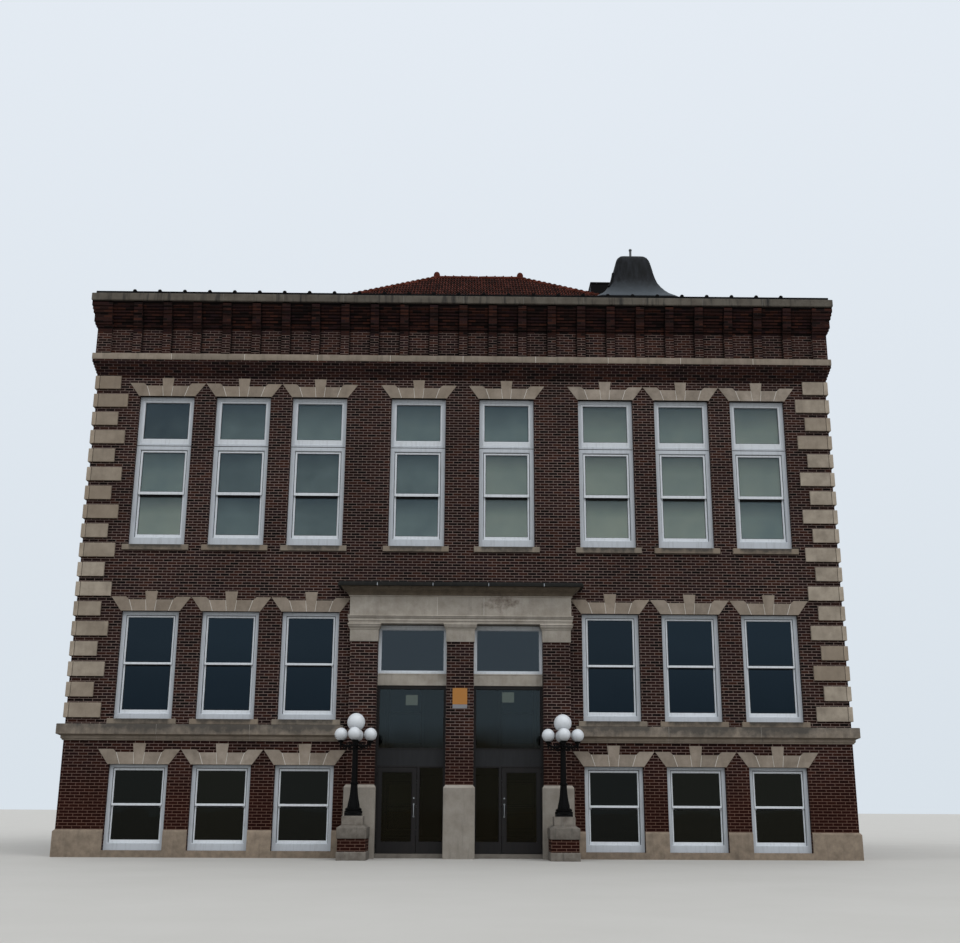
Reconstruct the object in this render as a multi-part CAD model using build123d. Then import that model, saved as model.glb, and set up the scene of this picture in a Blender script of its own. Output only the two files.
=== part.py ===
from build123d import *

import math
import os

# A three-storey brick town hall of 1911, 60 ft wide and 50 ft deep, with limestone trim.
# The origin is at ground level in the middle of the plan. The front faces -Y, and +Z is up.
# All sizes are millimetres.

# Overall masonry
COURSE = 203.2 / 3
WIDTH = 18288
DEPTH = 15240
WALL = 410
JOINT = 6
CUT = 1

# Levels above the ground
PLINTH_TOP = 600
MAIN_FLOOR_TOP = 2450
MAIN_FLOOR_THICKNESS = 250
BELT_BOTTOM = 2574
BELT_TOP = 2946
UPPER_FLOOR_TOP = 6450
UPPER_FLOOR_THICKNESS = 300
BAND_BOTTOM = 11900
BAND_TOP = 12063
DECK_TOP = 13060
DECK_THICKNESS = 300
PARAPET_TOP = 13440
GROUND_SLAB = 100
LOBBY_DEPTH = 3000
LOBBY_HALF = 2600

# Windows
WINDOW_WIDTH = 1360
WINDOW_REVEAL = 100
FRAME_GAP = 5
FRAME_DEPTH = 110
FRAME_SIDE = 125
FRAME_HEAD = 115
FRAME_FOOT = 215
GLASS = 10
SHADE = 6
FIRST_BAY = 3570
CORNER_BAY = 1764
MIDDLE_BAY = 1100
SIDE_PITCH = 4400
REAR_PITCH = 4000
GROUND_SILL = 150
GROUND_HEAD = 2040
MAIN_SILL_HEIGHT = 122
MAIN_HEAD = 5585
UPPER_SILL = 7195
UPPER_SILL_HEIGHT = 135
UPPER_HEAD = 10980
SILL_WIDTH = 1590
SILL_PROJECTION = 60

# Splayed stone lintels
LINTEL_PROUD = 15
LINTEL_FOOT = 700
LINTEL_TIP = 945
SPRINGER_FOOT = 595
INFILL_TOP = 520
KEY_FOOT = 130
KEY_TOP = 150
INFILL_COURSES = 4
SPRINGER_COURSES = 5
KEY_COURSES = 7

# Corner quoins
QUOIN_COUNT = 18
QUOIN_TOP = 11486
QUOIN_PITCH_COURSES = 7
QUOIN_COURSES = 5
QUOIN_LONG = 850
QUOIN_SHORT = 640
QUOIN_PROUD = 50

# Bands round the building, as projections from the brick face
PLINTH_PROUD = 46
PLINTH_CHAMFER = 40
BELT_PROUD = 150
BELT_BED_PROUD = 60
BELT_BED_HEIGHT = 100
BELT_STOP = 2700
CORBEL_COURSES = 6
CORBEL_STEP = 24
BAND_PROUD = 155

# Parapet
PARAPET_MIDDLE_PROUD = 125
PARAPET_TOP_PROUD = 250
PARAPET_MIDDLE_COURSE = 191
PARAPET_TOP_COURSE = 195
PILASTER_PITCH = 748.5
PILASTER_WIDTH = 205
PILASTER_PROUD = 95
PILASTER_HEAD_PROUD = 180
PILASTER_HEAD_COURSE = 190
CORNER_PILASTER = 360
COPING_HEIGHT = 205
COPING_PROUD = 272
COPING_INNER = 30
CAP_HEIGHT = 90
CAP_PROUD = 185

# Entrance bay
PIER_WIDTH = 640
PIER_PITCH = 2265
PIER_PROUD = 200
PIER_BASE_TOP = 1610
PIER_BASE_PROUD = 40
CAPITAL_BOTTOM = 4870
CAPITAL_FLARE = 5150
CAPITAL_PROUD = 15
CAPITAL_TOP_PROUD = 75
ARCHITRAVE_BOTTOM = 5290
FRIEZE_BOTTOM = 5490
FRIEZE_TOP = 5940
CORNICE_TOP = 6150
FLASHING_TOP = 6250
FRIEZE_PROUD = 36
MOULDING_PROUD = 80
CORNICE_PROUD = 240
FLASHING_PROUD = 315
SPANDREL_BOTTOM = 3870
SPANDREL_TOP = 4150
SPANDREL_RECESS = 60
SPANDREL_DEPTH = 200
TRANSOM_FRAME = 75

# Storefront and doors between the piers
STOREFRONT_RECESS = 100
STOREFRONT_DEPTH = 100
POST = 50
MULLION = 55
TOP_RAIL = 70
HEAD_PANEL_BOTTOM = 2010
HEAD_PANEL_TOP = 2430
SIDELIGHT_FOOT = 250
LEAF_WIDTH = 905
LEAF_THICKNESS = 45
LEAF_STILE = 110
LEAF_TOP_RAIL = 110
LEAF_FOOT_RAIL = 250
HINGE_GAP = 6
LATCH_GAP = 9
LEAF_HEAD_GAP = 8
LEAF_FOOT_GAP = 10
PULL_HEIGHT = 1050
PULL_LENGTH = 300
PULL_SECTION = 25
PULL_STAND = 55
PULL_INSET = 55
HINGE_HEIGHTS = (260, 1840)
HINGE_LENGTH = 100
HINGE_RADIUS = 8
HINGE_STAND = 10
HINGE_PLATE = 34
HINGE_PLATE_THICKNESS = 4
HINGE_SEAT_GAP = 0.3
HINGE_SIDES = 6

# Lamp standards
LAMP_X = 2330
LAMP_STAND = 860
PEDESTAL_HALF = 327
PEDESTAL_BASE_TOP = 180
PEDESTAL_BRICK_TOP = 450
PEDESTAL_CAP_TOP = 690
PEDESTAL_SLOPE_TOP = 740
PEDESTAL_TOP = 930
PEDESTAL_BLOCK_HALF = 234
PEDESTAL_BRICK_INSET = 20
LAMP_SIDES = 8
LAMP_PROFILE = (
    (205, 0),
    (205, 55),
    (150, 110),
    (165, 150),
    (125, 190),
    (95, 330),
    (75, 620),
    (92, 640),
    (58, 690),
)
LAMP_NECK = 48
LAMP_NECK_DROP = 148
LAMP_RING = 78
LAMP_RING_DROP = 108
LAMP_HUB = 60
LAMP_STEM = 36
FITTER_TOP = 70
FITTER_FOOT = 25
ARM_WIDTH = 32
ARM_HEIGHT = 34
ARM_DROP = 30
ARM_END = 20
GLOBE_SIDES = 10
GLOBE_RINGS = 5
SIDE_GLOBE = 145
SIDE_GLOBE_HEIGHT = 2690
SIDE_GLOBE_REACH = 330
TOP_GLOBE = 200
TOP_GLOBE_RISE = 270

# Roof
GUTTER_LEFT = 924
GUTTER_RIGHT = 24
GUTTER_FRONT = 310
ROOF_RISE = 4806
ROOF_EDGE = 260
TILE_DROP = 110
ROLL_OUTLINE = ((-125, -215), (125, -215), (118, -60), (55, 0), (-55, 0), (-118, -60))
ROLL_START = 330
FINIAL_PROFILE = ((100, -90), (100, 20), (88, 70), (58, 108), (22, 122))
FINIAL_SIDES = 10
BELL_FROM_RIGHT = 4428
BELL_FROM_EAVE = 1930
BELL_SEAT = 96
BELL_LIP = 60
BELL_CURB_HALF = 950
BELL_HALF = 1150
BELL_WAIST_HALF = 540
BELL_WAIST_HEIGHT = 960
BELL_FLARE_RADIUS = 1540
BELL_SHOULDER_HALF = 475
BELL_SHOULDER_HEIGHT = 1290
BELL_CROWN_RADIUS = 430
BELL_TOP_HALF = 260
BELL_HEIGHT = 1600
BELL_ROD = 40
BELL_ROD_HEIGHT = 340
HATCH_FROM_BELL = (-766, 134)
HATCH_FROM_EAVE = 5300
HATCH_DEPTH = 900
HATCH_RISE = 580

# The plate on the middle pier
PLATE_HALF = 170
PLATE_BOTTOM = 3330
PLATE_TOP = 3795
PLATE_THICKNESS = 8

# The pendant lights of the lobby
PENDANT_X = 1000
PENDANT_FROM_FRONT = 1500
PENDANT_GLOBE = 150
PENDANT_DROP = 1850
PENDANT_ROD = 12

# Derived places
HALF_WIDTH = WIDTH / 2
HALF_DEPTH = DEPTH / 2
EAVE_LEFT = WALL + GUTTER_LEFT - HALF_WIDTH
EAVE_RIGHT = HALF_WIDTH - WALL - GUTTER_RIGHT
EAVE_HALF_DEPTH = HALF_DEPTH - WALL - GUTTER_FRONT
ROOF_SLOPE = ROOF_RISE / EAVE_HALF_DEPTH
BELL_X = HALF_WIDTH - BELL_FROM_RIGHT
BELL_Y = BELL_FROM_EAVE - EAVE_HALF_DEPTH
BELL_BASE = DECK_TOP + BELL_FROM_EAVE * ROOF_SLOPE + BELL_SEAT
TOP_GLOBE_HEIGHT = SIDE_GLOBE_HEIGHT + TOP_GLOBE_RISE
ENTRY_HALF = PIER_PITCH - PIER_WIDTH / 2
PIER_OUTER = PIER_PITCH + PIER_WIDTH / 2
SIDES = {
    "front": (0, HALF_DEPTH),
    "right": (90, HALF_WIDTH),
    "rear": (180, HALF_DEPTH),
    "left": (-90, HALF_WIDTH),
}
LAST_BAY = HALF_WIDTH - CORNER_BAY
FRONT_BAYS = (FIRST_BAY, (FIRST_BAY + LAST_BAY) / 2, LAST_BAY)
FRONT_GROUP = [sign * place for place in FRONT_BAYS for sign in (-1, 1)]
SIDE_GROUP = [-SIDE_PITCH, 0, SIDE_PITCH]
REAR_GROUP = [(i - 1.5) * REAR_PITCH for i in range(4)]
STOREYS = {
    "ground": (GROUND_SILL, GROUND_HEAD),
    "main": (BELT_TOP + MAIN_SILL_HEIGHT, MAIN_HEAD),
    "upper": (UPPER_SILL, UPPER_HEAD),
}


def block(x, y, z):
    """A rectangular block between three pairs of limits."""
    sizes = [b - a for a, b in (x, y, z)]
    centre = [(a + b) / 2 for a, b in (x, y, z)]
    return Pos(*centre) * Box(*sizes)


def polyhedron(rings):
    """A closed solid through rings of points from the bottom up, each ring with as many points."""
    faces = [Face(Wire.make_polygon(rings[0])), Face(Wire.make_polygon(rings[-1]))]
    for low, high in zip(rings, rings[1:]):
        for i in range(len(low)):
            j = (i + 1) % len(low)
            corners = [low[i], low[j], high[j], high[i]]
            corners = [p for k, p in enumerate(corners) if p != corners[k - 1]]
            faces.append(Face(Wire.make_polygon(corners)))
    return Solid(Shell(faces))


def rectangle_ring(x, y, z):
    """The four corners of a level rectangle."""
    return [(x[0], y[0], z), (x[1], y[0], z), (x[1], y[1], z), (x[0], y[1], z)]


def polygon_ring(radius, z, sides):
    """The corners of a level regular polygon about the Z axis."""
    angles = [2 * math.pi * (i + 0.5) / sides for i in range(sides)]
    return [(radius * math.cos(angle), radius * math.sin(angle), z) for angle in angles]


def turned(profile, sides):
    """A faceted turning about the Z axis through (radius, height) pairs."""
    return polyhedron([polygon_ring(radius, z, sides) for radius, z in profile])


def globe(radius, centre_z):
    """A faceted globe with flat poles, which sits on its fitter."""
    half_cap = math.pi / GLOBE_RINGS / 2
    angles = [half_cap + i * (math.pi - 2 * half_cap) / (GLOBE_RINGS - 1) for i in range(GLOBE_RINGS)]
    return turned([(radius * math.sin(a), centre_z - radius * math.cos(a)) for a in angles], GLOBE_SIDES)


def globe_foot(radius, centre_z):
    """The height of a globe's flat lower pole."""
    return centre_z - radius * math.cos(math.pi / GLOBE_RINGS / 2)


def on_side(side, shape):
    """Turns and moves a shape drawn with the wall face at Y = 0, facing -Y, onto one side."""
    turn, reach = SIDES[side]
    return Rot(0, 0, turn) * Pos(0, -reach, 0) * shape


def openings(side, storey):
    """The window centres along one side of a storey."""
    if side == "rear":
        return REAR_GROUP
    if side != "front":
        return SIDE_GROUP
    return FRONT_GROUP + ([-MIDDLE_BAY, MIDDLE_BAY] if storey == "upper" else [])


def all_windows():
    """Every window as (side, storey, centre)."""
    return [(side, storey, u) for side in SIDES for storey in STOREYS for u in openings(side, storey)]


def wall(side, span, height):
    """One wall between two places along its side, with its windows cut through."""
    slab = block(span, (0, WALL), height)
    for storey, (sill, head) in STOREYS.items():
        for u in openings(side, storey):
            if span[0] < u < span[1]:
                half = WINDOW_WIDTH / 2
                slab -= block((u - half, u + half), (-CUT, WALL + CUT), (sill, head))
    return on_side(side, slab)


def half_of(side):
    """Half the length of the brick face on one side."""
    return HALF_WIDTH if side in ("front", "rear") else HALF_DEPTH


def course(side, steps, inner=0):
    """One side of a band round the building, as steps of (bottom, top, projection)."""
    pieces = []
    for bottom, top, proud in steps:
        across = half_of(side) + proud if side in ("front", "rear") else half_of(side) - inner - JOINT
        pieces.append(block((-across, across), (-proud, inner), (bottom, top)))
    return on_side(side, Part() + pieces)


def courses(steps, inner=0):
    """A band round all four sides."""
    return [course(side, steps, inner) for side in SIDES]


def make_walls():
    """The six brick wall slabs. The front is split beside and over the entrance."""
    height = (0, BAND_TOP)
    inner = HALF_DEPTH - WALL
    return {
        "front_wall_left": wall("front", (-HALF_WIDTH, -ENTRY_HALF), height),
        "front_wall_right": wall("front", (ENTRY_HALF, HALF_WIDTH), height),
        "front_wall_over": wall("front", (-ENTRY_HALF, ENTRY_HALF), (ARCHITRAVE_BOTTOM, BAND_TOP)),
        "rear_wall": wall("rear", (-HALF_WIDTH, HALF_WIDTH), height),
        "left_wall": wall("left", (-inner, inner), height),
        "right_wall": wall("right", (-inner, inner), height),
    }


def floor(top, thickness, front_edge):
    """A floor between the walls, from a front edge back to the rear wall."""
    x = HALF_WIDTH - WALL
    return block((-x, x), (front_edge, HALF_DEPTH - WALL), (top - thickness, top))


def make_floors():
    """The slabs inside. The main floor stops round the two-storey lobby."""
    front = -HALF_DEPTH + WALL
    lobby = block((-LOBBY_HALF, LOBBY_HALF), (front, front + LOBBY_DEPTH), (0, MAIN_FLOOR_TOP + CUT))
    ground = floor(GROUND_SLAB, GROUND_SLAB, front)
    threshold = block((-ENTRY_HALF, ENTRY_HALF), (-HALF_DEPTH + STOREFRONT_RECESS, front), (0, GROUND_SLAB))
    threshold -= block((-PIER_WIDTH / 2, PIER_WIDTH / 2), (-HALF_DEPTH, front), (0, GROUND_SLAB))
    return {
        "ground_slab": ground + threshold,
        "main_floor": floor(MAIN_FLOOR_TOP, MAIN_FLOOR_THICKNESS, front) - lobby,
        "upper_floor": floor(UPPER_FLOOR_TOP, UPPER_FLOOR_THICKNESS, front),
        "roof_deck": floor(DECK_TOP, DECK_THICKNESS, front),
    }


def make_plinth():
    """The stone plinth, low under the ground windows, stopped by the entrance."""
    half = WINDOW_WIDTH / 2
    depth = (-PLINTH_PROUD - CUT, CUT)
    edge = PLINTH_TOP - PLINTH_CHAMFER
    sides = []
    for side in SIDES:
        ring = course(side, [(0, edge, PLINTH_PROUD)])
        proud = PLINTH_PROUD if side in ("front", "rear") else -JOINT
        across = half_of(side) + proud
        low = rectangle_ring((-across, across), (-PLINTH_PROUD, 0), edge)
        across -= PLINTH_CHAMFER if side in ("front", "rear") else 0
        high = rectangle_ring((-across, across), (PLINTH_CHAMFER - PLINTH_PROUD, 0), PLINTH_TOP)
        ring += on_side(side, polyhedron([low, high]))
        for u in openings(side, "ground"):
            ring -= on_side(side, block((u - half, u + half), depth, (GROUND_SILL, PLINTH_TOP + CUT)))
        sides.append(ring)
    stop = PIER_OUTER + PIER_BASE_PROUD
    sides[0] -= on_side("front", block((-stop, stop), depth, (-CUT, PLINTH_TOP + CUT)))
    return Part() + sides


def make_belt():
    """The stone belt course with its bed moulding, stopped beside the entrance."""
    bed_top = BELT_BOTTOM + BELT_BED_HEIGHT
    ring = courses([(BELT_BOTTOM, bed_top, BELT_BED_PROUD), (bed_top, BELT_TOP, BELT_PROUD)])
    gap = block((-BELT_STOP, BELT_STOP), (-BELT_PROUD - CUT, CUT), (BELT_BOTTOM - CUT, BELT_TOP + CUT))
    ring[0] -= on_side("front", gap)
    return Part() + ring


def quoin(index, corner_x, corner_y):
    """One stone wrapped round a corner, long and short by turns."""
    top = QUOIN_TOP - index * QUOIN_PITCH_COURSES * COURSE
    bottom = top - QUOIN_COURSES * COURSE
    lengths = (QUOIN_SHORT, QUOIN_LONG) if index % 2 == 0 else (QUOIN_LONG, QUOIN_SHORT)
    outer_x, outer_y = HALF_WIDTH + QUOIN_PROUD, HALF_DEPTH + QUOIN_PROUD
    x = sorted((corner_x * outer_x, corner_x * (outer_x - lengths[0])))
    y = sorted((corner_y * outer_y, corner_y * (outer_y - lengths[1])))
    core = block((-HALF_WIDTH, HALF_WIDTH), (-HALF_DEPTH, HALF_DEPTH), (bottom - CUT, top + CUT))
    return block(x, y, (bottom, top)) - core


def make_quoins():
    """Eighteen stones on each of the four corners."""
    corners = [(x, y) for x in (-1, 1) for y in (-1, 1)]
    return Part() + [quoin(i, x, y) for x, y in corners for i in range(QUOIN_COUNT)]


def lintel_outline(u, head):
    """The outline of a splayed lintel with stepped springers and a tall keystone."""
    infill, springer, key = (head + n * COURSE for n in (INFILL_COURSES, SPRINGER_COURSES, KEY_COURSES))
    right = [
        (LINTEL_FOOT, head),
        (LINTEL_TIP, springer),
        (SPRINGER_FOOT, springer),
        (INFILL_TOP, infill),
        (KEY_FOOT, infill),
        (KEY_TOP, key),
    ]
    return [(u + x, z) for x, z in right] + [(u - x, z) for x, z in reversed(right)]


def extruded_outline(points, y):
    """A solid from an (X, Z) outline between two Y limits."""
    plane = Plane(origin=(0, y[0], 0), x_dir=(1, 0, 0), z_dir=(0, 1, 0))
    face = make_face(Polyline([plane.to_local_coords(Vector(x, y[0], z)) for x, z in points], close=True))
    return plane * extrude(face, y[1] - y[0])


def make_lintels():
    """A lintel over each window."""
    pieces = []
    for side, storey, u in all_windows():
        outline = lintel_outline(u, STOREYS[storey][1])
        pieces.append(on_side(side, extruded_outline(outline, (-LINTEL_PROUD, 0))))
    return Part() + pieces


def make_sills():
    """Projecting sills under the main and upper windows, which carry the frames."""
    heights = {"main": MAIN_SILL_HEIGHT, "upper": UPPER_SILL_HEIGHT}
    half = SILL_WIDTH / 2
    pieces = []
    for side, storey, u in all_windows():
        if storey in heights:
            top = STOREYS[storey][0]
            strip = block((u - half, u + half), (-SILL_PROJECTION, 0), (top - heights[storey], top))
            pieces.append(on_side(side, strip))
    return Part() + pieces


def frame_box(storey, u):
    """The outer limits of a window frame in its opening."""
    sill, head = STOREYS[storey]
    half = WINDOW_WIDTH / 2 - FRAME_GAP
    return (u - half, u + half), (WINDOW_REVEAL, WINDOW_REVEAL + FRAME_DEPTH), (sill, head - FRAME_GAP)


def light_box(storey, u):
    """The clear opening of a window frame."""
    x, y, z = frame_box(storey, u)
    return (x[0] + FRAME_SIDE, x[1] - FRAME_SIDE), y, (z[0] + FRAME_FOOT, z[1] - FRAME_HEAD)


def make_windows():
    """Frames, glass and the drawn shades of the upper storey."""
    frames, glass, shades = [], [], []
    for side, storey, u in all_windows():
        outer, light = frame_box(storey, u), light_box(storey, u)
        through = (light[1][0] - CUT, light[1][1] + CUT)
        frames.append(on_side(side, block(*outer) - block(light[0], through, light[2])))
        middle = sum(light[1]) / 2
        glass.append(on_side(side, block(light[0], (middle, middle + GLASS), light[2])))
        if storey == "upper":
            back = outer[1][1]
            shades.append(on_side(side, block(light[0], (back, back + SHADE), light[2])))
    return {
        "window_frames": Part() + frames,
        "window_glass": Part() + glass,
        "window_shades": Part() + shades,
    }


def make_bands():
    """The brick corbel table, the stone band over it, the parapet, its coping and its metal cap."""
    low = BAND_BOTTOM - CORBEL_COURSES * COURSE
    counts = range(CORBEL_COURSES)
    corbels = [(low + i * COURSE, low + (i + 1) * COURSE, (i + 1) * CORBEL_STEP) for i in counts]
    middle, upper = PARAPET_MIDDLE_COURSE * COURSE, PARAPET_TOP_COURSE * COURSE
    parapet = [
        (BAND_TOP, middle, 0),
        (middle, upper, PARAPET_MIDDLE_PROUD),
        (upper, PARAPET_TOP, PARAPET_TOP_PROUD),
    ]
    coping_top = PARAPET_TOP + COPING_HEIGHT
    return {
        "corbel_table": Part() + courses(corbels),
        "stone_band": Part() + courses([(BAND_BOTTOM, BAND_TOP, BAND_PROUD)]),
        "parapet": Part() + courses(parapet, WALL),
        "coping": Part() + courses([(PARAPET_TOP, coping_top, COPING_PROUD)], WALL + COPING_INNER),
        "coping_cap": Part() + courses([(coping_top, coping_top + CAP_HEIGHT, CAP_PROUD)], WALL),
    }


def pilaster_profile():
    """The (Y, Z) outline of a pilaster, corbelled out in front and seated on the stepped parapet behind."""
    head = PILASTER_HEAD_COURSE * COURSE
    middle, top = PARAPET_MIDDLE_COURSE * COURSE, PARAPET_TOP_COURSE * COURSE
    return [
        (0, BAND_TOP),
        (-PILASTER_PROUD, BAND_TOP),
        (-PILASTER_PROUD, head),
        (-PILASTER_HEAD_PROUD, head),
        (-PILASTER_HEAD_PROUD, top),
        (-PARAPET_MIDDLE_PROUD, top),
        (-PARAPET_MIDDLE_PROUD, middle),
        (0, middle),
    ]


def corner_pilaster(corner_x, corner_y):
    """The wide pilaster round a corner."""
    head = PILASTER_HEAD_COURSE * COURSE
    middle, top = PARAPET_MIDDLE_COURSE * COURSE, PARAPET_TOP_COURSE * COURSE
    steps = [(BAND_TOP, head, PILASTER_PROUD), (head, top, PILASTER_HEAD_PROUD)]
    inner_x = HALF_WIDTH + PILASTER_PROUD - CORNER_PILASTER
    inner_y = HALF_DEPTH + PILASTER_PROUD - CORNER_PILASTER
    pieces = []
    for bottom, up, proud in steps:
        x = sorted((corner_x * inner_x, corner_x * (HALF_WIDTH + proud)))
        y = sorted((corner_y * inner_y, corner_y * (HALF_DEPTH + proud)))
        pieces.append(block(x, y, (bottom, up)))
    body = Part() + pieces
    body -= block((-HALF_WIDTH, HALF_WIDTH), (-HALF_DEPTH, HALF_DEPTH), (BAND_TOP - CUT, top + CUT))
    reach_x, reach_y = HALF_WIDTH + PARAPET_MIDDLE_PROUD, HALF_DEPTH + PARAPET_MIDDLE_PROUD
    return body - block((-reach_x, reach_x), (-reach_y, reach_y), (middle, top + CUT))


def make_pilasters():
    """Brick pilasters round the parapet, one at the middle of each side and one round each corner."""
    plane = Plane.YZ
    face = make_face(Polyline([(y, z) for y, z in pilaster_profile()], close=True))
    strip = Pos(-PILASTER_WIDTH / 2, 0, 0) * (plane * extrude(face, PILASTER_WIDTH))
    pieces = [corner_pilaster(x, y) for x in (-1, 1) for y in (-1, 1)]
    for side in SIDES:
        count = int((half_of(side) - CORNER_PILASTER) // PILASTER_PITCH)
        pieces += [on_side(side, Pos(i * PILASTER_PITCH, 0, 0) * strip) for i in range(-count, count + 1)]
    return Part() + pieces


def front(shape):
    """Moves a shape drawn with the front wall face at Y = 0."""
    return on_side("front", shape)


def make_entrance():
    """Brick piers on stone bases, their capitals, and the entablature with its metal flashing."""
    piers, bases, capitals = [], [], []
    half = PIER_WIDTH / 2
    for place in (-PIER_PITCH, 0, PIER_PITCH):
        back = WALL if place == 0 else 0
        x = (place - half, place + half)
        piers.append(block(x, (-PIER_PROUD, back), (PIER_BASE_TOP, CAPITAL_BOTTOM)))
        wide = (x[0] - PIER_BASE_PROUD, x[1] + PIER_BASE_PROUD)
        low, top = PIER_BASE_TOP - PIER_BASE_PROUD, PIER_BASE_TOP
        y = (-PIER_PROUD - PIER_BASE_PROUD, 0)
        slope = polyhedron([rectangle_ring(wide, y, low), rectangle_ring(x, (-PIER_PROUD, 0), top)])
        base = block(wide, y, (0, low)) + slope
        if place == 0:
            base += block(x, (0, WALL), (0, top)) + block(wide, (0, STOREFRONT_RECESS - JOINT), (0, low))
        bases.append(base)
        cap_x = (x[0] - CAPITAL_PROUD, x[1] + CAPITAL_PROUD)
        cap_y = (-PIER_PROUD - CAPITAL_PROUD, back)
        top_x = (x[0] - CAPITAL_TOP_PROUD, x[1] + CAPITAL_TOP_PROUD)
        top_y = (-PIER_PROUD - CAPITAL_TOP_PROUD, back)
        if place == 0:
            cap_y, top_y = (cap_y[0], 0), (top_y[0], 0)
        low_ring = rectangle_ring(cap_x, cap_y, CAPITAL_FLARE)
        high_ring = rectangle_ring(top_x, top_y, ARCHITRAVE_BOTTOM)
        capital = block(cap_x, cap_y, (CAPITAL_BOTTOM, CAPITAL_FLARE)) + polyhedron([low_ring, high_ring])
        if place == 0:
            capital += block(x, (0, WALL), (CAPITAL_BOTTOM, ARCHITRAVE_BOTTOM))
        capitals.append(capital)
    return {
        "entrance_piers": front(Part() + piers),
        "pier_bases": front(Part() + bases),
        "pier_capitals": front(Part() + capitals),
        "entablature": front(entablature()),
        "entrance_flashing": front(entry_block(FLASHING_PROUD, CORNICE_TOP, FLASHING_TOP)),
        "spandrel_panels": front(Part() + [spandrel(sign) for sign in (-1, 1)]),
    }


def entry_ring(proud, z):
    """A level rectangle round the entrance bay, with a projection from the pier faces."""
    return rectangle_ring((-PIER_OUTER - proud, PIER_OUTER + proud), (-PIER_PROUD - proud, 0), z)


def entry_block(proud, bottom, top):
    """A block across the entrance bay, with a projection from the pier faces."""
    return polyhedron([entry_ring(proud, bottom), entry_ring(proud, top)])


def entablature():
    """The architrave, bare frieze and flared cornice over the entrance."""
    moulding = (FRIEZE_BOTTOM - ARCHITRAVE_BOTTOM) / 3
    body = entry_block(MOULDING_PROUD, ARCHITRAVE_BOTTOM, ARCHITRAVE_BOTTOM + moulding)
    body += entry_block(FRIEZE_PROUD, ARCHITRAVE_BOTTOM + moulding, FRIEZE_TOP)
    body += entry_block(MOULDING_PROUD, FRIEZE_BOTTOM - moulding / 2, FRIEZE_BOTTOM)
    body += polyhedron([entry_ring(MOULDING_PROUD, FRIEZE_TOP), entry_ring(CORNICE_PROUD, CORNICE_TOP)])
    return body


def bay(sign):
    """The clear width between two piers, on the left or right of the middle one."""
    limits = sorted((sign * PIER_WIDTH / 2, sign * ENTRY_HALF))
    return tuple(limits)


def spandrel(sign):
    """The stone panel between the storefront and the transom window."""
    y = (SPANDREL_RECESS, SPANDREL_RECESS + SPANDREL_DEPTH)
    return block(bay(sign), y, (SPANDREL_BOTTOM, SPANDREL_TOP))


def make_transoms():
    """The white transom windows under the entablature."""
    y = (WINDOW_REVEAL, WINDOW_REVEAL + FRAME_DEPTH)
    z = (SPANDREL_TOP, ARCHITRAVE_BOTTOM)
    frames, glass = [], []
    for sign in (-1, 1):
        x = bay(sign)
        inner_x = (x[0] + TRANSOM_FRAME, x[1] - TRANSOM_FRAME)
        inner_z = (z[0] + TRANSOM_FRAME, z[1] - TRANSOM_FRAME)
        frames.append(block(x, y, z) - block(inner_x, (y[0] - CUT, y[1] + CUT), inner_z))
        middle = sum(y) / 2
        glass.append(block(inner_x, (middle, middle + GLASS), inner_z))
    return frames, glass


def make_storefront():
    """Dark aluminium posts and rails, fixed glass and two single doors, hinged at the outer posts."""
    posts, rails, glass, nodes = [], [], [], {}
    y = (STOREFRONT_RECESS, STOREFRONT_RECESS + STOREFRONT_DEPTH)
    middle = sum(y) / 2
    pane = (middle, middle + GLASS)
    for name, sign in (("left", -1), ("right", 1)):
        outer, inner = sign * ENTRY_HALF, sign * PIER_WIDTH / 2
        hinge = outer - sign * (POST + HINGE_GAP)
        latch = hinge - sign * LEAF_WIDTH
        mullion = latch - sign * LATCH_GAP
        height = (GROUND_SLAB, SPANDREL_BOTTOM)

        def span(a, b):
            return tuple(sorted((a, b)))

        posts.append(block(span(outer, outer - sign * POST), y, height))
        posts.append(block(span(inner, inner + sign * POST), y, height))
        posts.append(block(span(mullion, mullion - sign * MULLION), y, (GROUND_SLAB, HEAD_PANEL_BOTTOM)))
        posts[-3] += hinge_halves(hinge + sign * HINGE_GAP / 2, sign, 0)
        clear = span(outer - sign * POST, inner + sign * POST)
        side = span(mullion - sign * MULLION, inner + sign * POST)
        rails.append(block(clear, y, (HEAD_PANEL_BOTTOM, HEAD_PANEL_TOP)))
        rails.append(block(clear, y, (SPANDREL_BOTTOM - TOP_RAIL, SPANDREL_BOTTOM)))
        rails.append(block(side, y, (GROUND_SLAB, GROUND_SLAB + SIDELIGHT_FOOT)))
        glass.append(block(clear, pane, (HEAD_PANEL_TOP, SPANDREL_BOTTOM - TOP_RAIL)))
        glass.append(block(side, pane, (GROUND_SLAB + SIDELIGHT_FOOT, HEAD_PANEL_BOTTOM)))
        leaf, leaf_glass = door(span(hinge, latch), latch, sign)
        nodes["door_" + name] = front(leaf)
        nodes["door_" + name + "_glass"] = front(leaf_glass)
    nodes["storefront_posts"] = front(Part() + posts)
    nodes["storefront_rails"] = front(Part() + rails)
    frames, transom_glass = make_transoms()
    nodes["transom_frames"] = front(Part() + frames)
    nodes["entrance_glass"] = front(Part() + glass + transom_glass)
    return nodes


def hinge_halves(axis_x, side, level):
    """The lower (0) or upper (1) halves of a leaf's butt hinges, with their plates to one side."""
    face = STOREFRONT_RECESS
    plate_x = sorted((axis_x, axis_x + side * HINGE_PLATE))
    pieces = []
    for middle in HINGE_HEIGHTS:
        z = (middle - HINGE_LENGTH / 2, middle)
        if level:
            z = (middle + HINGE_SEAT_GAP, middle + HINGE_LENGTH / 2)
        knuckle = turned([(HINGE_RADIUS, z[0]), (HINGE_RADIUS, z[1])], HINGE_SIDES)
        pieces.append(Pos(axis_x, face - HINGE_STAND, 0) * knuckle)
        pieces.append(block(plate_x, (face - HINGE_PLATE_THICKNESS, face), z))
    return Part() + pieces


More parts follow.
